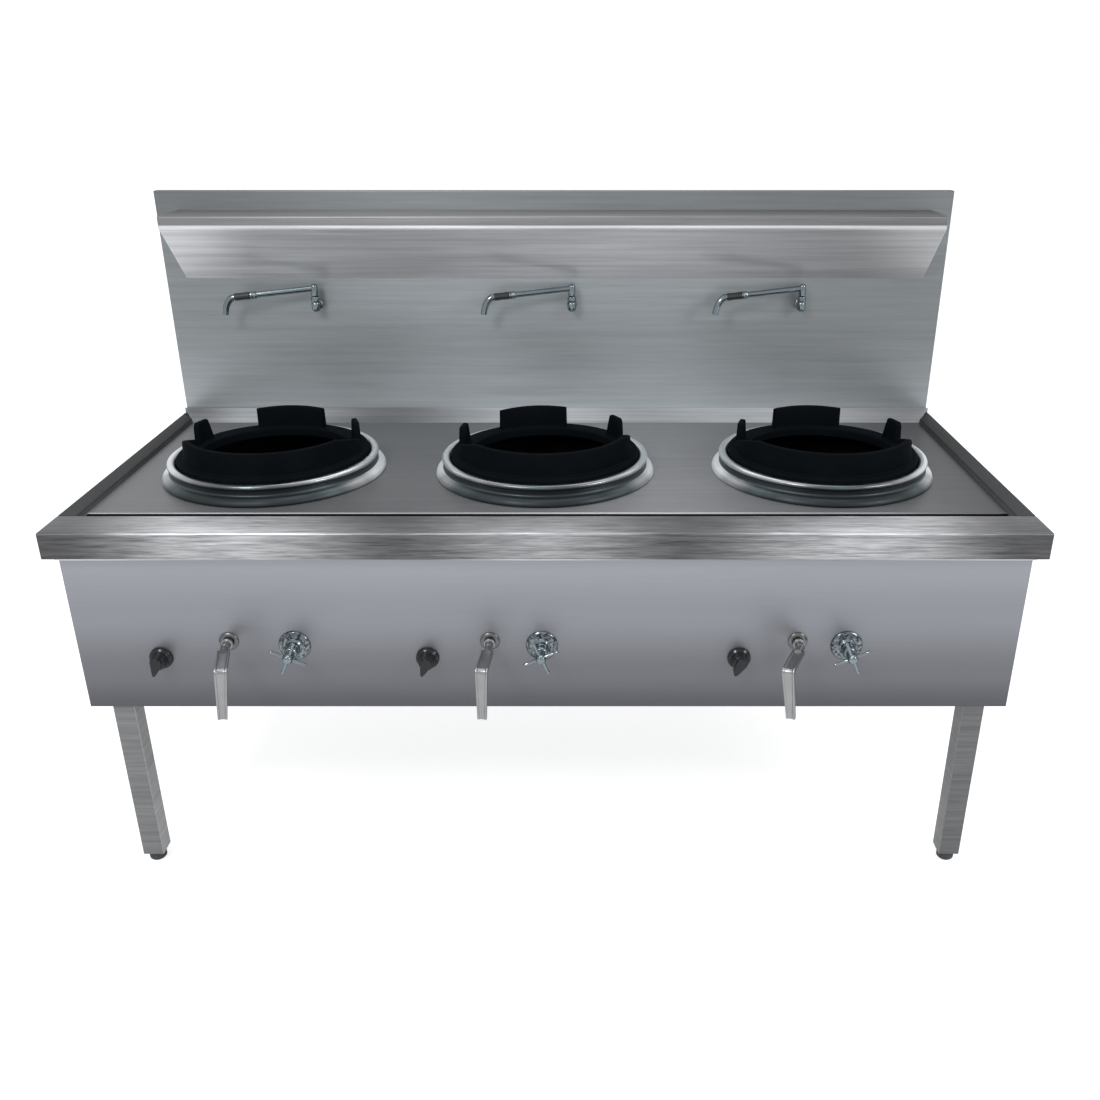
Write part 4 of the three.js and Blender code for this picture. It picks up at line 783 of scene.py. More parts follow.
FINISHES: dict[str, BrushedSteel | Polished | Grainy] = {
    # Painted reflection and highlight: the X tone lays light and dark bands along the front rail, and the Z
    # tone paints its upper fold and top lighter than the face below.
    "front_rail": BrushedSteel(
        "front_rail_steel", (0.98, 0.985, 1.0), (0.39, 0.395, 0.41), line=1.3, streak=0.6, streak_width=0.009,
        length=0.4, fineness=2.0, tones=(
            Tone(Axis.X, ((-0.87, 0.19), (-0.58, 1.0), (-0.27, 0.22), (0.0, 0.70), (0.25, 0.23), (0.57, 1.0),
                          (0.85, 0.19))),
            Tone(Axis.Z, ((0.700, 0.65), (0.7455, 0.65), (0.7475, 0.95), (0.7498, 0.95), (0.7500, 0.92))))),
    "rail_end": BrushedSteel(
        "rail_end_steel", (0.46, 0.465, 0.475), (0.36, 0.365, 0.375), grain=Axis.Y, streak=0.3),
    # Painted shade: the side rails are painted much darker than the other steel, darker again towards the
    # back, and darker on top than on their inner sides.
    "side_rail": BrushedSteel(
        "side_rail_steel", (0.105, 0.113, 0.113), (0.085, 0.092, 0.092), grain=Axis.Y, streak=0.3,
        roughness=0.6, metallic=0.1, specular=0.15,
        tones=(Tone(Axis.Y, ((-0.34, 1.0), (-0.1, 0.8), (0.36, 0.55))),
               Tone(Axis.Z, ((0.7000, 1.0), (0.7455, 1.0), (0.7485, 0.42), (0.7500, 0.42))))),
    # Painted reflection: the X tone lays light and dark patches along the rear strip.
    "rear_strip": BrushedSteel(
        "rear_strip_steel", (0.94, 0.94, 0.95), (0.54, 0.54, 0.56), streak=0.7, streak_width=0.01,
        tones=(Tone(Axis.X, ((-0.88, 0.30), (-0.74, 0.66), (-0.40, 0.21), (0.03, 0.88), (0.2, 0.68),
                             (0.6, 0.93), (0.86, 0.46))),)),
    # Painted reflection and shade: the X tone lays light and dark patches across the deck; the Z tone paints
    # the gutter and drain nearly black as painted shade, and paints a highlight along the deck's front fold.
    "deck": BrushedSteel(
        "deck_steel", (0.632, 0.636, 0.654), (0.446, 0.452, 0.470), streak=0.4, metallic=0.6,
        tones=(Tone(Axis.X, ((-0.86, 0.58), (-0.3, 0.50), (0.2, 1.0), (0.55, 0.7), (0.86, 0.26))),
               Tone(Axis.Z, ((0.69, 0.03), (0.7368, 0.05), (0.7378, 0.9), (0.7393, 1.0), (0.73985, 0.5),
                             (0.74, 0.5))))),
    # Painted shade: the X tone darkens the splashback towards both ends, the right one most, and the Z tone
    # darkens it upwards, most above the shelf.
    "splash": BrushedSteel(
        "splash_steel", (0.55, 0.592, 0.613), (0.397, 0.432, 0.449), streak=0.5, streak_width=0.012,
        metallic=0.55,
        tones=(Tone(Axis.X, ((-0.9, 0.73), (-0.1, 1.0), (0.2, 1.0), (0.9, 0.585))),
               Tone(Axis.Z, ((0.74, 1.0), (0.95, 0.68), (1.15, 0.63), (1.215, 0.42), (1.26, 0.375))))),
    # Painted highlight and shade: the Z tone paints a bright line along the lower fold of the shelf's lip and
    # darkens the lip above it and the top; the X tone darkens it towards both ends, the right one most.
    "shelf": BrushedSteel(
        "shelf_steel", (0.98, 0.985, 1.0), (0.66, 0.666, 0.684), streak=0.9, streak_width=0.014, metallic=0.6,
        tones=(Tone(Axis.X, ((-0.85, 0.87), (0.1, 1.0), (0.85, 0.62))),
               Tone(Axis.Z, ((1.07, 0.85), (1.186, 0.90), (1.188, 1.0), (1.196, 1.0), (1.198, 0.30),
                             (1.214, 0.30), (1.217, 0.18))))),
    # Painted shade: the Z tone darkens the apron towards the bottom.
    "apron": BrushedSteel(
        "apron_steel", (0.345, 0.355, 0.39), (0.29, 0.298, 0.325), line=0.35, streak=0.15, cloud=0.2,
        tones=(Tone(Axis.Z, ((0.38, 0.295), (0.46, 0.48), (0.58, 0.77), (0.70, 0.98))),)),
    # Painted reflection: the X tone lays light and dark bands along the hem strip.
    "hem": BrushedSteel(
        "hem_steel", (1.0, 1.0, 1.0), (0.80, 0.81, 0.82), line=0.4, streak=0.5,
        tones=(Tone(Axis.X, ((-0.86, 0.92), (-0.60, 0.42), (-0.22, 0.31), (-0.02, 0.80), (0.25, 0.32),
                             (0.50, 0.33), (0.80, 0.76))),)),
    "side_sheet": BrushedSteel("side_sheet_steel", (0.34, 0.35, 0.38), (0.27, 0.28, 0.30), grain=Axis.Y),
    # Painted shade: the X tone darkens the legs towards the right.
    "leg": BrushedSteel(
        "leg_steel", (0.218, 0.221, 0.223), (0.134, 0.137, 0.139), line=0.9, streak=0.7, streak_width=0.006,
        metallic=0.6, tones=(Tone(Axis.X, ((-0.82, 1.0), (0.8, 0.74))),)),
    # Lighter copy of the leg steel for the side faces: painted light that offsets their shade; its X tone
    # darkens it towards the right as painted shade.
    "leg_side": BrushedSteel(
        "leg_side_steel", (0.40, 0.404, 0.408), (0.25, 0.254, 0.258), grain=Axis.Y, line=0.9, streak=0.7,
        streak_width=0.006, metallic=0.6, tones=(Tone(Axis.X, ((-0.82, 1.0), (0.8, 0.68))),)),
    # Painted reflection and shade: the Y tone paints the collar's wall nearly black, darkest at the front and
    # lighter towards the sides and back, and the Z tone darkens a band under the rim.
    "collar": Polished(
        "collar_steel", (0.92, 0.945, 0.955), (0.71, 0.74, 0.755), roughness=0.38, metallic=0.8,
        tones=(Tone(Axis.Y, ((-0.20, (0.038, 0.046, 0.050)), (-0.18, (0.042, 0.050, 0.054)),
                             (-0.148, (0.080, 0.095, 0.101)), (0.2, (0.085, 0.100, 0.107)))),
               Tone(Axis.Z, ((0.7580, 0.9), (0.7655, 0.72), (0.7680, 1.0))))),
    # Painted highlight: the Y tone darkens the rim at the front and lets it brighten to full towards the
    # sides, and the Z tone lightens it towards its top.
    "collar_rim": Polished(
        "collar_rim_steel", (0.92, 0.945, 0.955), (0.71, 0.74, 0.755), roughness=0.30,
        tones=(Tone(Axis.Z, ((0.7700, 0.9), (0.7775, 1.0))),
               Tone(Axis.Y, ((-0.195, (0.190, 0.215, 0.220)), (-0.185, (0.130, 0.145, 0.150)), (-0.165, 0.26),
                             (-0.148, 0.42), (-0.09, 0.95), (0.0, 1.0))))),
    # Painted reflection: the Y tone paints the foot nearly black at the front and bright towards the sides.
    "collar_foot": Polished(
        "collar_foot_steel", (0.92, 0.945, 0.955), (0.71, 0.74, 0.755), roughness=0.45, metallic=0.8,
        tones=(Tone(Axis.Y, ((-0.203, (0.027, 0.033, 0.036)), (-0.165, (0.040, 0.048, 0.051)),
                             (-0.13, (0.090, 0.110, 0.115)), (-0.07, 0.5), (-0.02, 1.0))),)),
    "chrome": Polished("chrome_plate", (0.24, 0.285, 0.305), (0.15, 0.185, 0.20), roughness=0.10),
    # Painted reflection: strong dark and bright mottles stand for what the chrome flange plate reflects.
    "flange": Polished(
        "flange_chrome", (0.22, 0.25, 0.26), (0.02, 0.03, 0.035), roughness=0.18, smear_and_reflection_scale=190.0,
        contrast=4.0),
    "lever": Polished("lever_satin", (0.325, 0.326, 0.327), (0.255, 0.256, 0.257), roughness=0.34),
    "escutcheon": Polished("escutcheon_satin", (0.17, 0.172, 0.17), (0.11, 0.112, 0.11), roughness=0.30),
    "casting": Grainy(
        "cast_iron_black", (0.0045, 0.0060, 0.0075), (0.0025, 0.0035, 0.0045), 0.0012, 0.6, specular=0.008),
    "burner": Grainy(
        "burner_iron", (0.006, 0.006, 0.006), (0.003, 0.003, 0.003), 0.0015, 0.65, specular=0.01),
    "firebox": Grainy(
        "firebox_scale", (0.004, 0.004, 0.004), (0.002, 0.002, 0.002), 0.004, 0.6, specular=0.01),
    "zinc": Grainy(
        "zinc_sheet", (0.36, 0.38, 0.39), (0.25, 0.265, 0.275), 0.012, 0.5, metallic=0.7, depth=0.00005),
    "brass": Grainy(
        "valve_brass", (0.48, 0.35, 0.15), (0.33, 0.23, 0.09), 0.002, 0.38, metallic=0.9, depth=0.00005),
    "pipe": Grainy(
        "pipe_steel", (0.33, 0.31, 0.28), (0.22, 0.205, 0.18), 0.003, 0.45, metallic=0.8, depth=0.00005),
    "knob": Grainy(
        "knob_black", (0.016, 0.018, 0.019), (0.007, 0.008, 0.009), 0.0008, 0.22, depth=0.00002,
                   specular=0.3),
    "grip": Grainy(
        "grip_black", (0.020, 0.022, 0.024), (0.010, 0.011, 0.012), 0.0008, 0.45, depth=0.00008),
    "foot": Grainy(
        "foot_dark", (0.050, 0.055, 0.060), (0.025, 0.028, 0.030), 0.001, 0.5, metallic=0.2, depth=0.00005),
}
_materials: dict[str, bpy.types.Material] = {}


def finish(key: str) -> bpy.types.Material:
    """Finds the material of a finish, which is built once.

    Args:
        key: Name of the finish.

    Returns:
        Its material.
    """
    if key not in _materials:
        _materials[key] = FINISHES[key].material()
    return _materials[key]


def dress(obj: Piece, key: str, body: str, slot: str, *nodes: str) -> None:
    """Gives a finished piece its material and body, and hides the CAD nodes it stands for.

    Args:
        obj: The piece.
        key: Name of its finish, where it doesn't have several already.
        body: CAD body that it moves with.
        slot: Material slot of the record; not used.
        nodes: CAD nodes that it replaces.
    """
    if not obj.data.materials:
        obj.data.materials.append(finish(key))
    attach(obj, body)
    if nodes:
        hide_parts(*nodes)
    LOG.info("%s: %d faces on %s", obj.name, len(obj.data.polygons), body)


def restyle(node: str, key: str) -> None:
    """Gives a CAD node that stays visible a better material.

    Args:
        node: The CAD node.
        key: Name of its finish.
    """
    obj = NODES[node]
    obj.data.materials.clear()
    obj.data.materials.append(finish(key))
    LOG.info("%s keeps its CAD shape", node)


def toned(obj: Piece, keys: Sequence[str], pick: Callable[[Face], int]) -> None:
    """Gives a piece several finishes.

    Args:
        obj: The piece.
        keys: Names of the finishes.
        pick: Says which of them a face has.
    """
    for key in keys:
        obj.data.materials.append(finish(key))
    for face in obj.data.polygons:
        face.material_index = pick(face)


def faces_sideways(face: Face) -> int:
    """1 for a face that looks along X, so that its brush lines run across it, and 0 for the others; on the
    legs these faces also get a lighter copy of the steel, painted light that offsets their shade.
    """
    return int(abs(face.normal.x) > SIDEWAYS)


# ---------------------------------------------------------------- worktop


@dataclass
class Worktop:
    """Folded rails, the sloping rear strip and the deck."""

    fold: float = 0.0035
    strip_fold: float = 0.002
    deck_fold: float = 0.0028
    fold_flat: float = 0.006
    gutter_width: float = 0.040
    gutter_depth: float = 0.042
    gutter_corner: float = 0.002
    hole_r: float = 0.1986
    hole_steps: int = 160
    cut_half: float = 0.01
    drain_from_end: float = 0.160
    drain_r: float = 0.016
    drain_wall: float = 0.002
    drain_rim: float = 0.004
    drain_edge: float = 0.0005

    def build(self) -> None:
        """Makes and dresses every piece of the worktop."""
        self.front_rail()
        for side in ENDS:
            self.side_rail(side)
        self.rear_strip()
        self.deck()

    def front_rail(self) -> None:
        """The thick front edge."""
        low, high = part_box("front_rail")
        plan = rectangle(low.x, low.y, high.x, high.y)
        rail = folded_tray("front_edge", plan, low.z, high.z, self.fold)
        toned(rail, ("front_rail", "rail_end"), faces_sideways)
        dress(rail, "front_rail", BODY, "rail_steel", "front_rail")

    def side_rail(self, side: str) -> None:
        """A side edge, mitred where it meets the rear strip.

        Args:
            side: Which side.
        """
        low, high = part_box(f"{side}_rail")
        strip_low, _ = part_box("rear_upstand")
        inner, outer = (high.x, low.x) if side == "left" else (low.x, high.x)
        plan = [(inner, low.y), (outer, low.y), (outer, high.y), (inner, strip_low.y)]
        rail = folded_tray(f"{side}_edge", plan, low.z, high.z, self.fold)
        dress(rail, "side_rail", BODY, "rail_steel", f"{side}_rail")

    def rear_strip(self) -> None:
        """The sloping strip between deck and splashback, drawn too long and cut back to mitred ends."""
        low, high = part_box("rear_upstand")
        _, deck_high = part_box("deck_plate")
        line = [(high.y, low.z), (high.y, high.z), (low.y, deck_high.z)]
        outline = bent_outline(line, SHEET, self.strip_fold)
        strip = extruded("rear_strip", outline, Axis.X, -1.0, 1.0)
        inner = deck_high.x
        slope = (high.x - inner) / (high.y - low.y)
        for vertex in strip.data.vertices:
            reach = inner + (vertex.co.y - low.y) * slope
            vertex.co.x = math.copysign(min(reach, high.x), vertex.co.x)
        dress(strip, "rear_strip", BODY, "rail_steel", "rear_upstand")

    def deck(self) -> None:
        """The deck sheet with its three holes, bent down at the front into the gutter, and the drain."""
        low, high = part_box("deck_plate")
        _, rail_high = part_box("front_rail")
        fold_y = rail_high.y + self.gutter_width
        floor = high.z - self.gutter_depth + SHEET
        front = low.y + SHEET
        line = [(high.y, high.z), (fold_y + self.fold_flat, high.z), (fold_y, high.z), (fold_y, floor),
                (front, floor), (front, high.z - 2 * SHEET)]
        sheet = extruded("deck_bent", bent_outline(line, SHEET, self.deck_fold), Axis.X, low.x, high.x)
        for side in SIDES:
            x, y, _ = centre(f"collar_{side}")
            self.pierce(sheet, x, y, high.z, self.hole_r)
        drain_at = (high.x - self.drain_from_end, (front + fold_y) / 2)
        bore = self.drain_r - self.drain_wall
        self.pierce(sheet, *drain_at, floor, bore)
        half = SHEET / 2
        wall = [(front - half, floor - half), (fold_y + half, floor - half),
                (fold_y + half, high.z - SHEET), (front - half, high.z - 2 * SHEET)]
        corners = rounded(wall, self.gutter_corner, steps=2)
        ends = [extruded("gutter_end", corners, Axis.X, end, end + SHEET) for end in (low.x, high.x - SHEET)]
        pipe = [(bore, low.z), (self.drain_r, low.z), (self.drain_r, floor - SHEET),
                (self.drain_r + self.drain_rim, floor - half), (bore, floor - half)]
        spigot = turned("drain_spigot", pipe, steps=40, soften=self.drain_edge, pieces=2)
        moved(spigot, shift(*drain_at, 0))
        dress(joined("deck_sheet", [sheet, *ends, spigot]), "deck", BODY, "brushed_sheet", "deck_plate")

    def pierce(self, sheet: Piece, x: float, y: float, z: float, radius: float) -> None:
        """Cuts a round hole down through a sheet.

        Args:
            sheet: The sheet.
            x: Place of the hole along X.
            y: Place of the hole along Y.
            z: Height of the sheet there.
            radius: Radius of the hole.
        """
        cutter = turned("cutter", rectangle(0, -self.cut_half, radius, self.cut_half), self.hole_steps)
        moved(cutter, shift(x, y, z))
        cut = sheet.modifiers.new("hole", "BOOLEAN")
        cut.operation = "DIFFERENCE"
        cut.solver = "EXACT"
        cut.object = cutter
        settled(sheet)
        bpy.data.objects.remove(cutter)


# ---------------------------------------------------------------- splashback


@dataclass
class Splash:
    """The splashback and its shelf."""

    edge: float = 0.0018
    shelf_fold: float = 0.004
    lip: float = 0.027

    def build(self) -> None:
        """Makes and dresses both pieces."""
        low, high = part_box("splashback")
        outline = rectangle(low.x, low.z, high.x, high.z)
        panel = bevelled(extruded("splash_panel", outline, Axis.Y, low.y, high.y), self.edge)
        dress(panel, "splash", BODY, "brushed_sheet", "splashback")
        self.shelf()

    def shelf(self) -> None:
        """Flat top, upright lip and sloping underside, with closed ends and an open back."""
        low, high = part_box("splash_shelf")

        def is_fold(edge: Edge) -> bool:
            """Finds the folds of the lip and of the two ends.

            Args:
                edge: An edge of the shelf.

            Returns:
                Whether it is one of them; an edge of the open back isn't.
            """
            nearest = min(v.co.y for v in edge.verts)
            crosses = abs(edge.verts[0].co.x - edge.verts[1].co.x) < ON_PLANE
            return nearest < low.y + ON_PLANE or (crosses and nearest < high.y - ON_PLANE)

        outline = [(low.y, high.z), (low.y, high.z - self.lip), (high.y, low.z), (high.y, high.z)]
        shelf = extruded("shelf", outline, Axis.X, low.x, high.x)
        folded(shelf, is_fold, self.shelf_fold, Vector((0.0, 1.0, 0.0)), even=False)
        toned(shelf, ("shelf", "rail_end"), faces_sideways)
        dress(shelf, "shelf", BODY, "rail_steel", "splash_shelf")


# ---------------------------------------------------------------- apron and legs


@dataclass
class Casing:
    """Apron, sides, base and the four legs with their feet.

    The sole's profile is (share of the foot's radius, height).
    """

    apron_fold: float = 0.003
    hem_depth: float = 0.0034
    hem_gap: float = 0.0001
    hem_fold: float = 0.0012
    leg_fold: float = 0.0035
    sole: Profile = ((0, 0), (0.76, 0), (1.0, 0.004), (1.0, 0.0115), (0.92, 0.0130), (0.92, 0.021),
                     (0.8, 0.022))
    foot_edge: float = 0.0012
    stem_r: float = 0.0045

    def build(self) -> None:
        """Makes and dresses every piece of the casing."""
        self.apron()
        for side in ENDS:
            restyle(f"{side}_side_panel", "side_sheet")
        restyle("base_and_back_panel", "zinc")
        for corner in CORNERS:
            self.leg(corner)
            self.foot(corner)

    def apron(self) -> None:
        """The front sheet with its lower return, and the hem strip along its top."""
        low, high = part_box("front_panel")
        face = apron_face()
        hem_low = high.z - self.hem_depth
        line = [(high.y, low.z), (face, low.z), (face, hem_low - self.hem_gap)]
        sheet = extruded("apron", bent_outline(line, -SHEET, self.apron_fold), Axis.X, low.x, high.x)
        dress(sheet, "apron", BODY, "satin_sheet", "front_panel")
        strip = rounded(rectangle(low.y, hem_low, face + SHEET, high.z), self.hem_fold)
        dress(extruded("apron_hem", strip, Axis.X, low.x, high.x), "hem", BODY, "satin_sheet")

    def leg(self, corner: str) -> None:
        """One square tube leg.

        Args:
            corner: Where it stands.
        """
        low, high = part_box(f"leg_{corner}")
        square = rounded(rectangle(low.x, low.y, high.x, high.y), self.leg_fold, steps=5)
        leg = extruded(f"leg_tube_{corner}", square, Axis.Z, low.z, high.z)
        # The side faces get the lighter leg_side copy, painted light that offsets their shade.
        toned(leg, ("leg", "leg_side"), faces_sideways)
        dress(leg, "leg", BODY, "brushed_sheet", f"leg_{corner}")

    def foot(self, corner: str) -> None:
        """One screw foot: chamfered sole, waisted body, flange nut and stem.

        Args:
            corner: Which leg it is under.
        """
        low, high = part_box(f"foot_{corner}")
        radius = (high.x - low.x) / 2
        sole = [(share * radius, z) for share, z in self.sole]
        profile = [*sole, (self.stem_r, sole[-1][1]), (self.stem_r, high.z), (0, high.z)]
        foot = turned(f"screw_foot_{corner}", profile, steps=40, soften=self.foot_edge)
        x, y, _ = centre(f"foot_{corner}")
        moved(foot, shift(x, y, 0))
        dress(foot, "foot", f"foot_{corner}", "foot_plastic", f"foot_{corner}")


# ---------------------------------------------------------------- burners


class Zone(Enum):
    """The zones of a collar, by the place of their finish in its list."""

    WALL = 0
    RIM = 1
    FOOT = 2
    INSIDE = 3


@dataclass
class Collar:
    """Polished collar: swelling foot, upright wall and a wide rolled rim.

    The profiles are (radius, height) offsets: foot_edge from the foot's outer edge, swell from the
    neck at the foot, neck_top from the neck at the top, rolled from the rim and bore_edge from the bore.
    """

    side: str
    flare: float = 0.017
    roll: float = 0.004
    wall: float = 0.013
    tuck: float = 0.009
    ledge: float = 0.0095
    ledge_drop: float = 0.011
    ledge_thick: float = 0.003
    ledge_root: float = 0.0045
    sleeve_outer: float = 0.003
    sleeve_inner: float = 0.0005
    foot_edge: Profile = ((-0.001, 0.0), (0.0, 0.0012), (0.0, 0.0042), (-0.0026, 0.0098))
    swell: Profile = ((0.0088, 0.0140), (0.0024, 0.0160), (0.0, 0.0185))
    neck_top: Profile = ((0.0, -0.0125), (0.0008, -0.0102))
    rolled: Profile = ((-0.0004, -0.0082), (0.0, -0.0052), (-0.0012, -0.0022), (-0.0040, -0.0004),
                       (-0.0075, 0.0))
    bore_edge: Profile = ((0.0045, -0.0006), (0.0012, -0.0030), (0.0, -0.0065))
    soften: float = 0.0015
    steps: int = 160
    foot_zone: float = 0.0165
    rim_zone: float = 0.0085
    skin: float = 0.005

    def build(self) -> None:
        """Makes and dresses the collar."""
        low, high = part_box(f"collar_{self.side}")
        x, y, _ = centre(f"collar_{self.side}")
        foot_r = (high.x - low.x) / 2
        foot = low.z + self.tuck
        neck = foot_r - self.flare
        inner = neck - self.wall
        top = high.z
        ledge = top - self.ledge_drop
        sleeve = inner + self.sleeve_outer
        profile = [
            (inner + self.sleeve_inner, low.z), (sleeve, low.z), (sleeve, foot),
            *placed(self.foot_edge, foot_r, foot), *placed(self.swell, neck, foot),
            *placed(self.neck_top, neck, top), *placed(self.rolled, neck + self.roll, top),
            *placed(self.bore_edge, inner, top),
            (inner, ledge), (inner - self.ledge, ledge), (inner - self.ledge, ledge - self.ledge_thick),
            (inner, ledge - self.ledge_root)]
        collar = turned(f"collar_ring_{self.side}", profile, self.steps, self.soften, pieces=2)
        moved(collar, shift(x, y, 0))

        def zone(face: Face) -> int:
            """Finds the zone that a face is in.

            Args:
                face: A face of the collar.

            Returns:
                The zone's place in the list of finishes.
            """
            place = face.center
            if place.z > top - self.rim_zone:
                return Zone.RIM.value
            if math.hypot(place.x - x, place.y - y) < neck - self.skin:
                return Zone.INSIDE.value
            return Zone.FOOT.value if place.z < foot + self.foot_zone else Zone.WALL.value

        # The rim, wall and foot finishes carry different painted highlights, reflections and shade; the
        # inside takes the near-black firebox finish.
        toned(collar, ("collar", "collar_rim", "collar_foot", "firebox"), zone)
        dress(collar, "collar", BODY, "chrome", f"collar_{self.side}")


@dataclass
class CastRing:
    """Lift-off casting: flat base, spigot, and a wall whose height changes around the ring.

    The wall is high along the front, low at the sides, high again at the two horns and at the rear plate.
    The profiles are (radius, height) offsets from the top of the base: bore_edge at the bore and
    base_edge at the base's outer edge.
    """

    side: str
    turn: float
    base_r: float = 0.193
    bore_r: float = 0.1505
    spigot_r: float = 0.184
    wall_r: float = 0.1760
    wall: float = 0.012
    base: float = 0.0165
    height: float = 0.045
    side_height: float = 0.012
    side_level: float = 0.006
    spigot: float = 0.012
    spigot_wall: float = 0.008
    horn_start: float = 0.036
    horn_rise: float = 0.004
    horn_chamfer: float = 0.006
    horn_top: float = 0.035
    horn_length: float = 0.046
    horn_curve: float = 0.8
    plate_half: float = 0.074
    arch: float = 0.0025
    lip: float = 0.003
    lip_share: float = 0.4
    lip_round: float = 0.3
    fillet: float = 0.002
    outer_fillet: float = 0.0045
    bore_edge: Profile = ((0.0035, 0.0), (0.0008, -0.0012), (0.0, -0.0045))
    base_edge: Profile = ((0.0, -0.005), (-0.0012, -0.0015), (-0.004, 0.0))
    sections: int = 200
    nearby: tuple[float, ...] = (-0.003, -0.0004, 0.0004, 0.003)

    def wall_height(self, angle: float) -> float:
        """How high the wall stands above the base.

        Args:
            angle: Where, from +X, in radians.

        Returns:
            The height in metres, or 0 where there is no wall.
        """
        x = self.wall_r * math.cos(angle)
        y = self.wall_r * math.sin(angle)
        band_end = -self.wall_r / 2
        level_from = self.horn_start - self.side_level
        top_end = self.horn_start + self.horn_top
        horn_end = self.horn_start + self.horn_length
        if y <= band_end:
            return self.height
        if y < level_from:
            return self.height + (self.side_height - self.height) * (y - band_end) / (level_from - band_end)
        if y < self.horn_start:
            return self.side_height
        if y < self.horn_start + self.horn_rise:
            return self.height - self.horn_chamfer * (1 - (y - self.horn_start) / self.horn_rise)
        if y < top_end:
            return self.height
        if y < horn_end:
            return self.height * ((horn_end - y) / (horn_end - top_end)) ** self.horn_curve
        if abs(x) <= self.plate_half and y > 0:
            return self.height - self.arch * (x / self.plate_half) ** 2
        return 0.0

    def section(self, angle: float) -> list[Point]:
        """The outline of the casting at one angle.

        Args:
            angle: Where, from +X, in radians.

        Returns:
            (radius, height) points above the base's underside, always the same number of them.
        """
        h = self.wall_height(angle)
        base = self.base
        top = base + h
        lip = min(self.lip, h * self.lip_share)
        corner = lip * self.lip_round
        root = base + min(self.fillet, h / 2)
        outer, inner = self.wall_r, self.wall_r - self.wall
        spigot_inner = self.spigot_r - self.spigot_wall
        return [
            *placed(self.bore_edge, self.bore_r, base), (self.bore_r, 0.0), (spigot_inner, 0.0),
            (spigot_inner, -self.spigot), (self.spigot_r, -self.spigot), (self.spigot_r, 0.0),
            (self.base_r, 0.0), *placed(self.base_edge, self.base_r, base),
            (outer + self.outer_fillet, base), (outer + self.fillet, root),
            (outer, top - lip), (outer - corner, top - corner), (outer - lip, top),
            (inner + lip, top), (inner + corner, top - corner), (inner, top - lip),
            (inner, root), (inner - self.fillet, base)]

    def angles(self) -> list[float]:
        """Chooses where the sections stand: even steps, and more of them where the wall changes quickly.

        Returns:
            Their angles from +X, in radians and in order.
        """
        start = self.horn_start
        changes = (start - self.side_level, start, start + self.horn_rise, start + self.horn_top,
                   start + self.horn_length)
        edges = [math.asin(y / self.wall_r) for y in changes] + [math.acos(self.plate_half / self.wall_r)]
        marks = [math.tau * i / self.sections for i in range(self.sections)]
        for edge in edges:
            for place in (edge, math.pi - edge):
                marks += [place + step for step in self.nearby]
        return sorted(mark % math.tau for mark in marks)

    def build(self) -> None:
        """Makes and dresses the casting."""
        x, y, _ = centre(f"collar_{self.side}")
        low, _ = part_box(f"wok_ring_{self.side}")
        rows = [[(r * math.cos(a), r * math.sin(a), z) for r, z in self.section(a)] for a in self.angles()]
        ring = lofted(f"wok_casting_{self.side}", rows, ring=True)
        moved(ring, shift(x, y, low.z + self.spigot), spin(self.turn, Axis.Z))
        dress(ring, "casting", f"wok_ring_{self.side}", "cast_iron", f"wok_ring_{self.side}")


@dataclass
class Burners:
    """Three wells: collar, casting, firebox and burner."""

    turns: tuple[float, ...] = (1.0, 11.0, 1.5)

    def build(self) -> None:
        """Makes and dresses each well."""
        for side, turn in zip(SIDES, self.turns):
            Collar(side).build()
            CastRing(side, turn).build()
            restyle(f"firebox_{side}", "firebox")
            restyle(f"burner_{side}", "burner")


# ---------------------------------------------------------------- geometry nodes


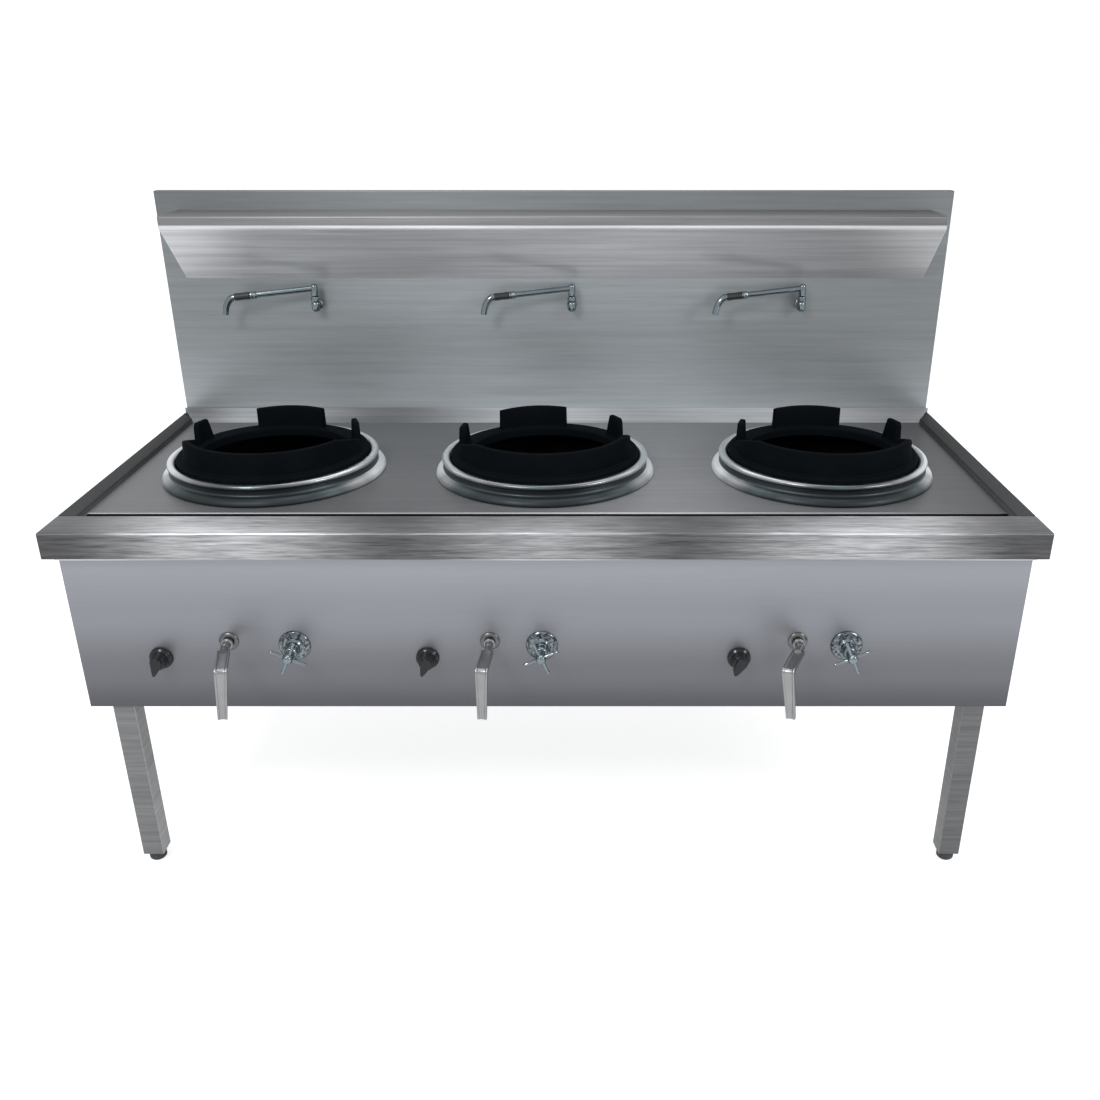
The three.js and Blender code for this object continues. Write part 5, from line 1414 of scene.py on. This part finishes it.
class Circlet:
    """A Geometry Nodes tree that repeats a piece evenly about the Z axis."""

    def __init__(self) -> None:
        """Builds the tree with its named inputs."""
        tree = bpy.data.node_groups.new("repeat_about_axis", "GeometryNodeTree")
        face = tree.interface
        face.new_socket("Piece", in_out="INPUT", socket_type="NodeSocketGeometry")
        self.count = face.new_socket("Count", in_out="INPUT", socket_type="NodeSocketInt").identifier
        self.first = face.new_socket("First Angle", in_out="INPUT", socket_type="NodeSocketFloat").identifier
        self.finish = face.new_socket("Finish", in_out="INPUT", socket_type="NodeSocketMaterial").identifier
        face.new_socket("Ring", in_out="OUTPUT", socket_type="NodeSocketGeometry")
        given = add_node(tree, "NodeGroupInput", {}).outputs
        points = add_node(tree, "GeometryNodePoints", {"Count": given["Count"]})
        index = add_node(tree, "GeometryNodeInputIndex", {})
        share = add_node(tree, "ShaderNodeMath", {0: index.outputs[0], 1: given["Count"]}, operation="DIVIDE")
        feeds = {0: share.outputs[0], 1: math.tau, 2: given["First Angle"]}
        angle = add_node(tree, "ShaderNodeMath", feeds, operation="MULTIPLY_ADD")
        turn = add_node(tree, "ShaderNodeCombineXYZ", {"Z": angle.outputs[0]})
        feeds = {"Points": points.outputs[0], "Instance": given["Piece"], "Rotation": turn.outputs[0]}
        copies = add_node(tree, "GeometryNodeInstanceOnPoints", feeds)
        real = add_node(tree, "GeometryNodeRealizeInstances", {0: copies.outputs[0]})
        feeds = {"Geometry": real.outputs[0], "Material": given["Finish"]}
        dressed = add_node(tree, "GeometryNodeSetMaterial", feeds)
        add_node(tree, "NodeGroupOutput", {0: dressed.outputs[0]})
        self.tree = tree

    def repeat(self, piece: Piece, count: int, first_degrees: float, key: str) -> Piece:
        """Repeats a piece about Z and leaves a plain mesh.

        Args:
            piece: One copy, pointing along +X.
            count: How many copies.
            first_degrees: Angle of the first copy.
            key: Finish of the copies.

        Returns:
            The same object, now holding every copy.
        """
        modifier = piece.modifiers.new("repeat", "NODES")
        modifier.node_group = self.tree
        modifier[self.count] = count
        modifier[self.first] = math.radians(first_degrees)
        modifier[self.finish] = finish(key)
        return settled(piece)


# ---------------------------------------------------------------- controls on the apron


@dataclass
class GasKnob:
    """Black knob: skirt, round body and a drop-shaped grip that ends in a pointer.

    The body's profile is (radius, height), drawn upright from the apron outwards.
    """

    side: str
    turn: float
    body: Profile = ((0, 0.0), (0.0218, 0.0), (0.0218, 0.0040), (0.0188, 0.0068), (0.0165, 0.0088),
                     (0.0142, 0.0240), (0.0117, 0.0258), (0, 0.0260))
    grip_r: float = 0.0104
    grip_rise: float = 0.004
    grip_back: float = 0.009
    grip_edge: float = 0.0022
    crown_from: float = -20.0
    crown_step: float = 22.0
    crown_points: int = 11
    shoulder: Point = (0.0062, -0.0125)
    pointer: Point = (0.0020, -0.0240)
    depth: float = 0.034
    soften: float = 0.0016

    def build(self) -> None:
        """Makes and dresses the knob."""
        low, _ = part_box(f"gas_knob_{self.side}")
        x, _, z = centre(f"gas_valve_{self.side}")
        body = moved(turned("knob_body", self.body, steps=56, soften=self.soften), TO_FRONT)
        grip = extruded("knob_grip", self.drop(), Axis.Y, -self.depth, -self.grip_back)
        knob = joined(f"pilot_knob_{self.side}", [body, bevelled(grip, self.grip_edge)])
        moved(knob, shift(x, low.y + self.depth, z), spin(-self.turn, Axis.Y))
        dress(knob, "knob", f"gas_knob_{self.side}", "knob_plastic", f"gas_knob_{self.side}")

    def drop(self) -> list[Point]:
        """Draws the grip: round above, narrowing to the pointer below.

        Returns:
            Its outline in X and Z.
        """
        crown = [math.radians(self.crown_from + self.crown_step * i) for i in range(self.crown_points)]
        outline = [(self.grip_r * math.cos(a), self.grip_rise + self.grip_r * math.sin(a)) for a in crown]
        (wide, high), (narrow, low) = self.shoulder, self.pointer
        outline += [(-wide, high), (-narrow, low), (narrow, low), (wide, high)]
        return rounded(outline, self.soften, steps=2)


@dataclass
class KneeLever:
    """Escutcheon on the apron and the channelled lever that bends down in front of it.

    The plate's profile is (radius, height), drawn upright from the apron outwards.
    """

    side: str
    splay: float
    lean: float
    plate: Profile = ((0.0086, CLEAR), (0.0184, CLEAR), (0.0180, 0.0022), (0.0135, 0.0048), (0.0086, 0.0050))
    plate_edge: float = 0.0012
    plate_gap: float = 0.005
    reach: float = 0.116
    width: float = 0.0226
    tip_width: float = 0.0168
    taper_from: float = 0.45
    thick: float = 0.008
    bend: float = 0.012
    drop: float = 0.099
    groove: float = 0.0016
    lip: float = 0.0035
    lip_foot: float = 0.0042
    bar_edge: float = 0.0012
    boss: float = 0.024
    neck: float = 0.014
    neck_share: float = 0.94
    neck_back: float = 0.003
    neck_front: float = 0.004
    stem_r: float = 0.0079
    stem_back: float = 0.004
    band: float = 0.0028
    band_drops: tuple[float, ...] = (0.013, 0.0125, 0.0075, 0.007)
    stem_edge: float = 0.001

    def build(self) -> None:
        """Makes and dresses the escutcheon and the lever."""
        x, _, z = centre(f"lever_valve_{self.side}")
        face = apron_face()
        self.escutcheon(x, face, z)
        boss_y = face - self.plate_gap - self.boss
        front = face - self.reach
        bar = joined("lever_arm", [self.neck_piece(), self.bar(front - boss_y)])
        moved(bar, spin(self.lean, Axis.Y), shift(0, boss_y, 0))
        lever = joined(f"lever_{self.side}", [self.stem(boss_y), bar])
        moved(lever, shift(x, 0, z))
        dress(lever, "lever", f"knee_lever_{self.side}", "chrome", f"knee_lever_{self.side}")

    def escutcheon(self, x: float, face: float, z: float) -> None:
        """Domed plate against the apron, around the spindle.

        Args:
            x: Place of the spindle along X.
            face: Place of the apron's face along Y.
            z: Height of the spindle.
        """
        plate = turned(f"lever_escutcheon_{self.side}", self.plate, steps=56, soften=self.plate_edge)
        moved(plate, shift(x, face, z), TO_FRONT)
        dress(plate, "escutcheon", BODY, "chrome", f"lever_valve_{self.side}")

    def stem(self, boss_y: float) -> Piece:
        """The turned spindle with its raised band.

        Args:
            boss_y: Place of its front end along Y.

        Returns:
            The spindle, on the Y axis.
        """
        length = self.boss + self.stem_back
        r, raised = self.stem_r, self.stem_r + self.band
        radii = (r, raised, raised, r)
        band = [(radius, length - drop) for radius, drop in zip(radii, self.band_drops)]
        stem = turned("lever_stem", [(0, 0), (r, 0), *band, (r, length), (0, length)], soften=self.stem_edge)
        return moved(stem, shift(0, boss_y, 0), TO_BACK)

    def neck_piece(self) -> Piece:
        """The round neck between the spindle and the bar.

        Returns:
            The neck, set at the bar's sideways angle.
        """
        ahead = Vector((0.0, -1.0, 0.0))
        radius = self.stem_r * self.neck_share
        ends = (self.neck_back, -self.neck - self.neck_front)
        neck = swept("lever_neck", [(Vector((0.0, end, 0.0)), ahead, radius) for end in ends])
        return moved(neck, spin(-self.splay, Axis.Z))

    def bar(self, front: float) -> Piece:
        """The bar: forward from the neck, round the bend and down, narrowing to its tip.

        Args:
            front: Place of its front face along Y, from the spindle's front end.

        Returns:
            The bar, set at its sideways angle.
        """
        half = self.thick / 2
        corners = [(-self.neck, half), (front, half), (front, -self.drop)]
        path = [Vector(p) for p in rounded(corners, self.bend, steps=8, closed=False)]
        lengths = [0.0]
        for a, b in zip(path, path[1:]):
            lengths.append(lengths[-1] + (b - a).length)
        turn = spin(-self.splay, Axis.Z)
        rows: list[list[Vector]] = []
        for i, p in enumerate(path):
            past = max(0.0, lengths[i] / lengths[-1] - self.taper_from) / (1 - self.taper_from)
            w = (self.width + (self.tip_width - self.width) * past) / 2
            inward = left_of(path, i)
            row: list[Vector] = []
            for sideways, depth in self.channel(w):
                q = p + inward * depth
                row.append(turn @ Vector((sideways, q.x, q.y)))
            rows.append(row)
        return lofted("lever_bar", rows)

    def channel(self, w: float) -> list[Point]:
        """The bar's section: flat, with a shallow groove along its outer face.

        Args:
            w: Half of the bar's width there.

        Returns:
            (sideways, depth below the outer face) points.
        """
        lip, foot, groove, thick = w - self.lip, w - self.lip_foot, self.groove, self.thick
        outline = [(-w, 0.0), (-lip, 0.0), (-foot, groove), (foot, groove), (lip, 0.0), (w, 0.0), (w, thick),
                   (-w, thick)]
        return rounded(outline, self.bar_edge, steps=2)


@dataclass
class CrossTap:
    """Wall flange with its bonnet, and the four-armed handle in front of it.

    The profiles are (radius, height), drawn upright: flange and hub outwards, arm from the hub's middle.
    """

    side: str
    turn: float
    circlet: Circlet
    flange: Profile = (
        (0, CLEAR), (0.0298, CLEAR), (0.0298, 0.0020), (0.0275, 0.0042), (0.0205, 0.0060), (0.0160, 0.0066),
        (0.0148, 0.0085), (0.0123, 0.0110), (0.0123, 0.0170), (0.0108, 0.0188), (0.0108, 0.0232),
        (0.0123, 0.0250), (0.0121, 0.0300), (0.0092, 0.0341), (0, 0.0341))
    flange_zone: float = 0.0078
    hub: Profile = ((0, 0.0), (0.0078, 0.0), (0.0098, 0.0055), (0.0085, 0.0090), (0.0098, 0.0125),
                    (0.0098, 0.0200), (0.0070, 0.0252), (0, 0.0268))
    arm: Profile = ((0, 0.004), (0.004125, 0.004), (0.003135, 0.014), (0.002805, 0.026), (0.0033, 0.031),
                    (0.003036, 0.0344), (0, 0.0356))
    handle_out: float = 0.0346
    arms: int = 4
    arms_up: float = 0.0162
    soften: float = 0.0016
    arm_edge: float = 0.0012

    def build(self) -> None:
        """Makes and dresses the tap and its handle."""
        x, _, z = centre(f"water_valve_{self.side}")
        face = apron_face()
        flange = turned(f"tap_flange_{self.side}", self.flange, steps=64, soften=self.soften)
        moved(flange, shift(x, face, z), TO_FRONT)
        # The flange plate takes the flange finish, whose strong mottles are painted reflections.
        toned(flange, ("chrome", "flange"), lambda patch: int(patch.center.y > face - self.flange_zone))
        dress(flange, "chrome", BODY, "chrome", f"water_valve_{self.side}")
        hub = turned("handle_hub", self.hub, soften=self.soften)
        arm = moved(turned("handle_arm", self.arm, steps=20, soften=self.arm_edge), TO_RIGHT)
        arms = moved(self.circlet.repeat(arm, self.arms, -self.turn, "chrome"), shift(0, 0, self.arms_up))
        handle = joined(f"tap_handle_{self.side}", [hub, arms])
        moved(handle, shift(x, face - self.handle_out, z), TO_FRONT, MIRROR_Y)
        dress(handle, "chrome", f"cross_handle_{self.side}", "chrome", f"cross_handle_{self.side}")


@dataclass
class Controls:
    """Knob, knee lever and tap of each burner, and what lies behind them."""

    tap_turns: tuple[float, ...] = (-24.0, 24.0, 24.0)
    lever_splays: tuple[float, ...] = (-12.5, 4.0, 25.0)
    lever_leans: tuple[float, ...] = (5.5, 1.5, -7.0)
    knob_turns: tuple[float, ...] = (-17.0, -22.0, -25.0)

    def build(self) -> None:
        """Makes and dresses every control."""
        circlet = Circlet()
        for i, side in enumerate(SIDES):
            GasKnob(side, self.knob_turns[i]).build()
            KneeLever(side, self.lever_splays[i], self.lever_leans[i]).build()
            CrossTap(side, self.tap_turns[i], circlet).build()
            restyle(f"gas_valve_{side}", "brass")
        restyle("gas_pipework", "pipe")
        restyle("water_pipework", "pipe")


# ---------------------------------------------------------------- spouts


@dataclass
class Spout:
    """Swinging water spout: riser on the splashback, arm, ferrule, black grip and curved nozzle.

    The profiles are (radius, height), drawn upright, and the ferrule's from the end of the arm. The
    nozzle's handles are shares of its way out and down, and its mouth is (less radius, further along).
    """

    side: str
    angle: float = 188.0
    droop: float = 5.0
    riser_in: float = 0.010
    riser: Profile = ((0, 0.0), (0.0055, 0.0), (0.0096, 0.0042), (0.0098, 0.0180), (0.0090, 0.0195),
                      (0.0090, 0.0225), (0.0098, 0.0240), (0.0098, 0.0325), (0.0085, 0.0338), (0, 0.0338))
    riser_edge: float = 0.0014
    tail_up: float = 0.012
    tail_r: float = 0.0078
    tail: Profile = ((0, 0.0), (0.0078, 0.0), (0.0078, 0.0217), (0.0100, 0.0222), (0.0113, 0.0238),
                     (0.0113, 0.0247), (0.0078, 0.0247))
    tail_edge: float = 0.0006
    sleeve: Profile = ((0, -0.018), (0.0079, -0.018), (0.0079, 0.0055), (0.0052, 0.0090), (0, 0.0100))
    sleeve_edge: float = 0.0022
    arm_down: float = 0.010
    arm_from: float = 0.004
    arm_r: float = 0.0064
    arm: float = 0.131
    ferrule: float = 0.013
    ferrule_ring: Profile = ((0, -0.001), (0.0079, -0.001), (0.0089, 0.003), (0.0075, 0.0055),
                             (0.0089, 0.008), (0.0089, 0.013), (0, 0.013))
    ferrule_edge: float = 0.001
    grip: float = 0.036
    grip_gap: float = 0.0004
    grip_end_gap: float = 0.0012
    grip_r: float = 0.0084
    grip_bore: float = 0.0058
    grip_chamfer: Point = (0.0010, 0.003)
    grip_waist: float = 0.0007
    grip_edge: float = 0.0012
    nozzle_r: float = 0.0074
    nozzle_out: float = 0.027
    nozzle_down: float = 0.036
    nozzle_taper: float = 0.0006
    nozzle_lap: float = 0.001
    nozzle_handles: Profile = ((0.5, 0.0), (0.88, 0.5))
    nozzle_steps: int = 14
    mouth: Profile = ((0.0008, 0.0004), (0.0014, -0.0010), (0.0016, -0.0090))

    def build(self) -> None:
        """Makes and dresses the spout's three pieces."""
        low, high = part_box(f"spout_base_{self.side}")
        x, _, _ = centre(f"spout_base_{self.side}")
        y = low.y + self.riser_in
        self.base(x, y, low.z, high.y)
        _, arm_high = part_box(f"spout_arm_{self.side}")
        place = (shift(x, y, arm_high.z - self.arm_down), spin(self.angle, Axis.Z))
        droop = spin(self.droop, Axis.Y)
        self.make_arm(place, droop)
        self.make_grip((*place, droop))

    def base(self, x: float, y: float, bottom: float, back: float) -> None:
        """Upright body, the tail that goes through the splashback, and its rose.

        Args:
            x: Place of the riser's axis along X.
            y: Place of the riser's axis along Y.
            bottom: Height of the riser's underside.
            back: Where along Y the tail ends.
        """
        body = moved(turned("spout_body", self.riser, soften=self.riser_edge), shift(x, y, bottom))
        profile = [*self.tail, (self.tail_r, back - y), (0, back - y)]
        tail = turned("spout_tail", profile, soften=self.tail_edge, pieces=2)
        moved(tail, shift(x, y, bottom + self.tail_up), TO_BACK)
        base = joined(f"spout_riser_{self.side}", [body, tail])
        dress(base, "chrome", BODY, "chrome", f"spout_base_{self.side}")

    def make_arm(self, place: tuple[Matrix, ...], droop: Matrix) -> None:
        """Sleeve on the riser, the drooping tube, its ferrule and the nozzle.

        Args:
            place: Moves that put the spout on its riser.
            droop: Turn of everything but the sleeve.
        """
        sleeve = turned("spout_sleeve", self.sleeve, soften=self.sleeve_edge, pieces=4)
        ahead = Vector((1.0, 0.0, 0.0))
        ends = [Vector((self.arm_from, 0, 0)), Vector((self.arm, 0, 0))]
        tube = swept("spout_tube", [(end, ahead, self.arm_r) for end in ends], steps=32)
        profile = placed(self.ferrule_ring, 0.0, self.arm)
        ring = moved(turned("spout_ferrule", profile, soften=self.ferrule_edge), TO_RIGHT)
        drooping = moved(joined("spout_run", [tube, ring, self.nozzle()]), droop)
        arm = moved(joined(f"spout_tube_{self.side}", [sleeve, drooping]), *place)
        dress(arm, "chrome", f"spout_{self.side}", "chrome", f"spout_arm_{self.side}")

    def nozzle(self) -> Piece:
        """Curved end of the spout, with a bored mouth.

        Returns:
            The nozzle, on the X axis at its place beyond the grip.
        """
        start = self.arm + self.ferrule + self.grip
        out, down = self.nozzle_out, self.nozzle_down
        p0, p3 = Vector((start - self.nozzle_lap, 0, 0)), Vector((start + out, 0, -down))
        p1, p2 = (Vector((start + out * x, 0, -down * z)) for x, z in self.nozzle_handles)
        stations: list[Station] = []
        for step in range(self.nozzle_steps + 1):
            t = step / self.nozzle_steps
            point = p0 * (1 - t) ** 3 + p1 * 3 * t * (1 - t) ** 2 + p2 * 3 * t**2 * (1 - t) + p3 * t**3
            slope = (p1 - p0) * (1 - t) ** 2 + (p2 - p1) * 2 * t * (1 - t) + (p3 - p2) * t**2
            stations.append((point, slope.normalized(), self.nozzle_r - self.nozzle_taper * t))
        end, direction, radius = stations[-1]
        stations += [(end + direction * along, direction, radius - less) for less, along in self.mouth]
        return swept("spout_nozzle", stations, steps=32)

    def make_grip(self, place: tuple[Matrix, ...]) -> None:
        """The black sleeve, slightly waisted.

        Args:
            place: Moves that put the spout on its riser and let it droop.
        """
        start = self.arm + self.ferrule + self.grip_gap
        end = start + self.grip - self.grip_end_gap
        bore, r = self.grip_bore, self.grip_r
        cut, run = self.grip_chamfer
        waist = (r - self.grip_waist, (start + end) / 2)
        profile = [(bore, start), (r - cut, start), (r, start + run), waist, (r, end - run), (r - cut, end),
                   (bore, end)]
        grip = turned(f"spout_sleeve_{self.side}", profile, soften=self.grip_edge)
        moved(grip, *place, TO_RIGHT)
        dress(grip, "grip", f"spout_{self.side}", "grip_plastic", f"spout_grip_{self.side}")


# ---------------------------------------------------------------- studio


@dataclass(frozen=True)
class Lamp:
    """One soft square lamp."""

    name: str
    at: tuple[float, float, float]
    to: tuple[float, float, float]
    size: float
    watts: float

    def build(self) -> None:
        """Hangs the lamp and points it."""
        data = bpy.data.lights.new(self.name, "AREA")
        data.size = self.size
        data.energy = self.watts
        obj = bpy.data.objects.new(self.name, data)
        obj.location = self.at
        obj.rotation_euler = (Vector(self.to) - Vector(self.at)).to_track_quat("-Z", "Y").to_euler()
        bpy.context.scene.collection.objects.link(obj)


@dataclass
class Studio:
    """Camera at the photograph's place, soft lamps, white surroundings and a pale floor."""

    camera_at: tuple[float, float, float] = (0.075058, -2.093781, 1.468280)
    pitch_down: float = 23.985
    lens: float = 34.97
    sensor: float = 36.0
    shift_x: float = -0.0341
    shift_y: float = 0.0118
    lamps: tuple[Lamp, ...] = (
        Lamp("key", (-1.6, -2.6, 3.2), (0.0, 0.0, 0.8), 0.9, 60),
        Lamp("fill", (2.8, -1.8, 2.2), (0.0, 0.0, 0.8), 0.8, 30),
        Lamp("top", (0.0, 0.4, 3.6), (0.0, 0.0, 0.7), 2.6, 35),
    )
    backdrop: tuple[float, ...] = (1.0, 1.0, 1.0, 1.0)
    ambient: float = 0.85
    ambient_colour: tuple[float, ...] = (0.97, 0.98, 1.0, 1.0)
    floor_half: float = 30.0
    floor_colour: tuple[float, ...] = (0.9, 0.9, 0.9, 1.0)
    floor_share: float = 0.45
    floor_glow: float = 1.62

    def build(self) -> None:
        """Sets up camera, lamps, world and floor."""
        self.camera()
        for lamp in self.lamps:
            lamp.build()
        self.world()
        self.floor()
        bpy.context.scene.view_settings.view_transform = "Standard"

    def camera(self) -> None:
        """The camera, fitted to the photograph's outline of the worktop and panels."""
        data = bpy.data.cameras.new("photo_camera")
        data.lens = self.lens
        data.sensor_width = self.sensor
        data.shift_x = self.shift_x
        data.shift_y = self.shift_y
        obj = bpy.data.objects.new("photo_camera", data)
        obj.location = self.camera_at
        obj.rotation_euler = Euler((math.radians(90 - self.pitch_down), 0.0, 0.0))
        bpy.context.scene.collection.objects.link(obj)
        bpy.context.scene.camera = obj

    def world(self) -> None:
        """Plain white surroundings for the camera, a little softer as a light."""
        world = bpy.data.worlds.new("surroundings")
        bpy.context.scene.world = world
        world.use_nodes = True
        tree = world.node_tree
        tree.nodes.clear()
        path = add_node(tree, "ShaderNodeLightPath", {})
        feeds = {"Color": self.ambient_colour, "Strength": self.ambient}
        light = add_node(tree, "ShaderNodeBackground", feeds)
        seen = add_node(tree, "ShaderNodeBackground", {"Color": self.backdrop, "Strength": 1.0})
        feeds = {0: path.outputs["Is Camera Ray"], 1: light.outputs[0], 2: seen.outputs[0]}
        mix = add_node(tree, "ShaderNodeMixShader", feeds)
        add_node(tree, "ShaderNodeOutputWorld", {"Surface": mix.outputs[0]})

    def floor(self) -> None:
        """A wide pale floor that keeps the object's shadow."""
        half = self.floor_half
        corners = [(x, y, 0.0) for x, y in rectangle(-half, -half, half, half)]
        floor = add_object("floor", corners, [range(len(corners))])
        material = bpy.data.materials.new("floor_white")
        material.use_nodes = True
        tree = material.node_tree
        tree.nodes.clear()
        path = add_node(tree, "ShaderNodeLightPath", {})
        feeds = {0: path.outputs["Is Camera Ray"], 1: self.floor_share}
        share = add_node(tree, "ShaderNodeMath", feeds, operation="MULTIPLY")
        matt = add_node(tree, "ShaderNodeBsdfDiffuse", {"Color": self.floor_colour})
        glow = add_node(tree, "ShaderNodeEmission", {"Strength": self.floor_glow})
        feeds = {0: share.outputs[0], 1: matt.outputs[0], 2: glow.outputs[0]}
        both = add_node(tree, "ShaderNodeMixShader", feeds)
        add_node(tree, "ShaderNodeOutputMaterial", {"Surface": both.outputs[0]})
        floor.data.materials.append(material)


def main() -> None:
    """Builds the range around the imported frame."""
    logging.basicConfig(level=logging.INFO, format="%(message)s")
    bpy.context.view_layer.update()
    for part in (Worktop(), Splash(), Casing(), Burners(), Controls()):
        part.build()
    for side in SIDES:
        Spout(side).build()
    Studio().build()


if __name__ == "__main__":
    main()
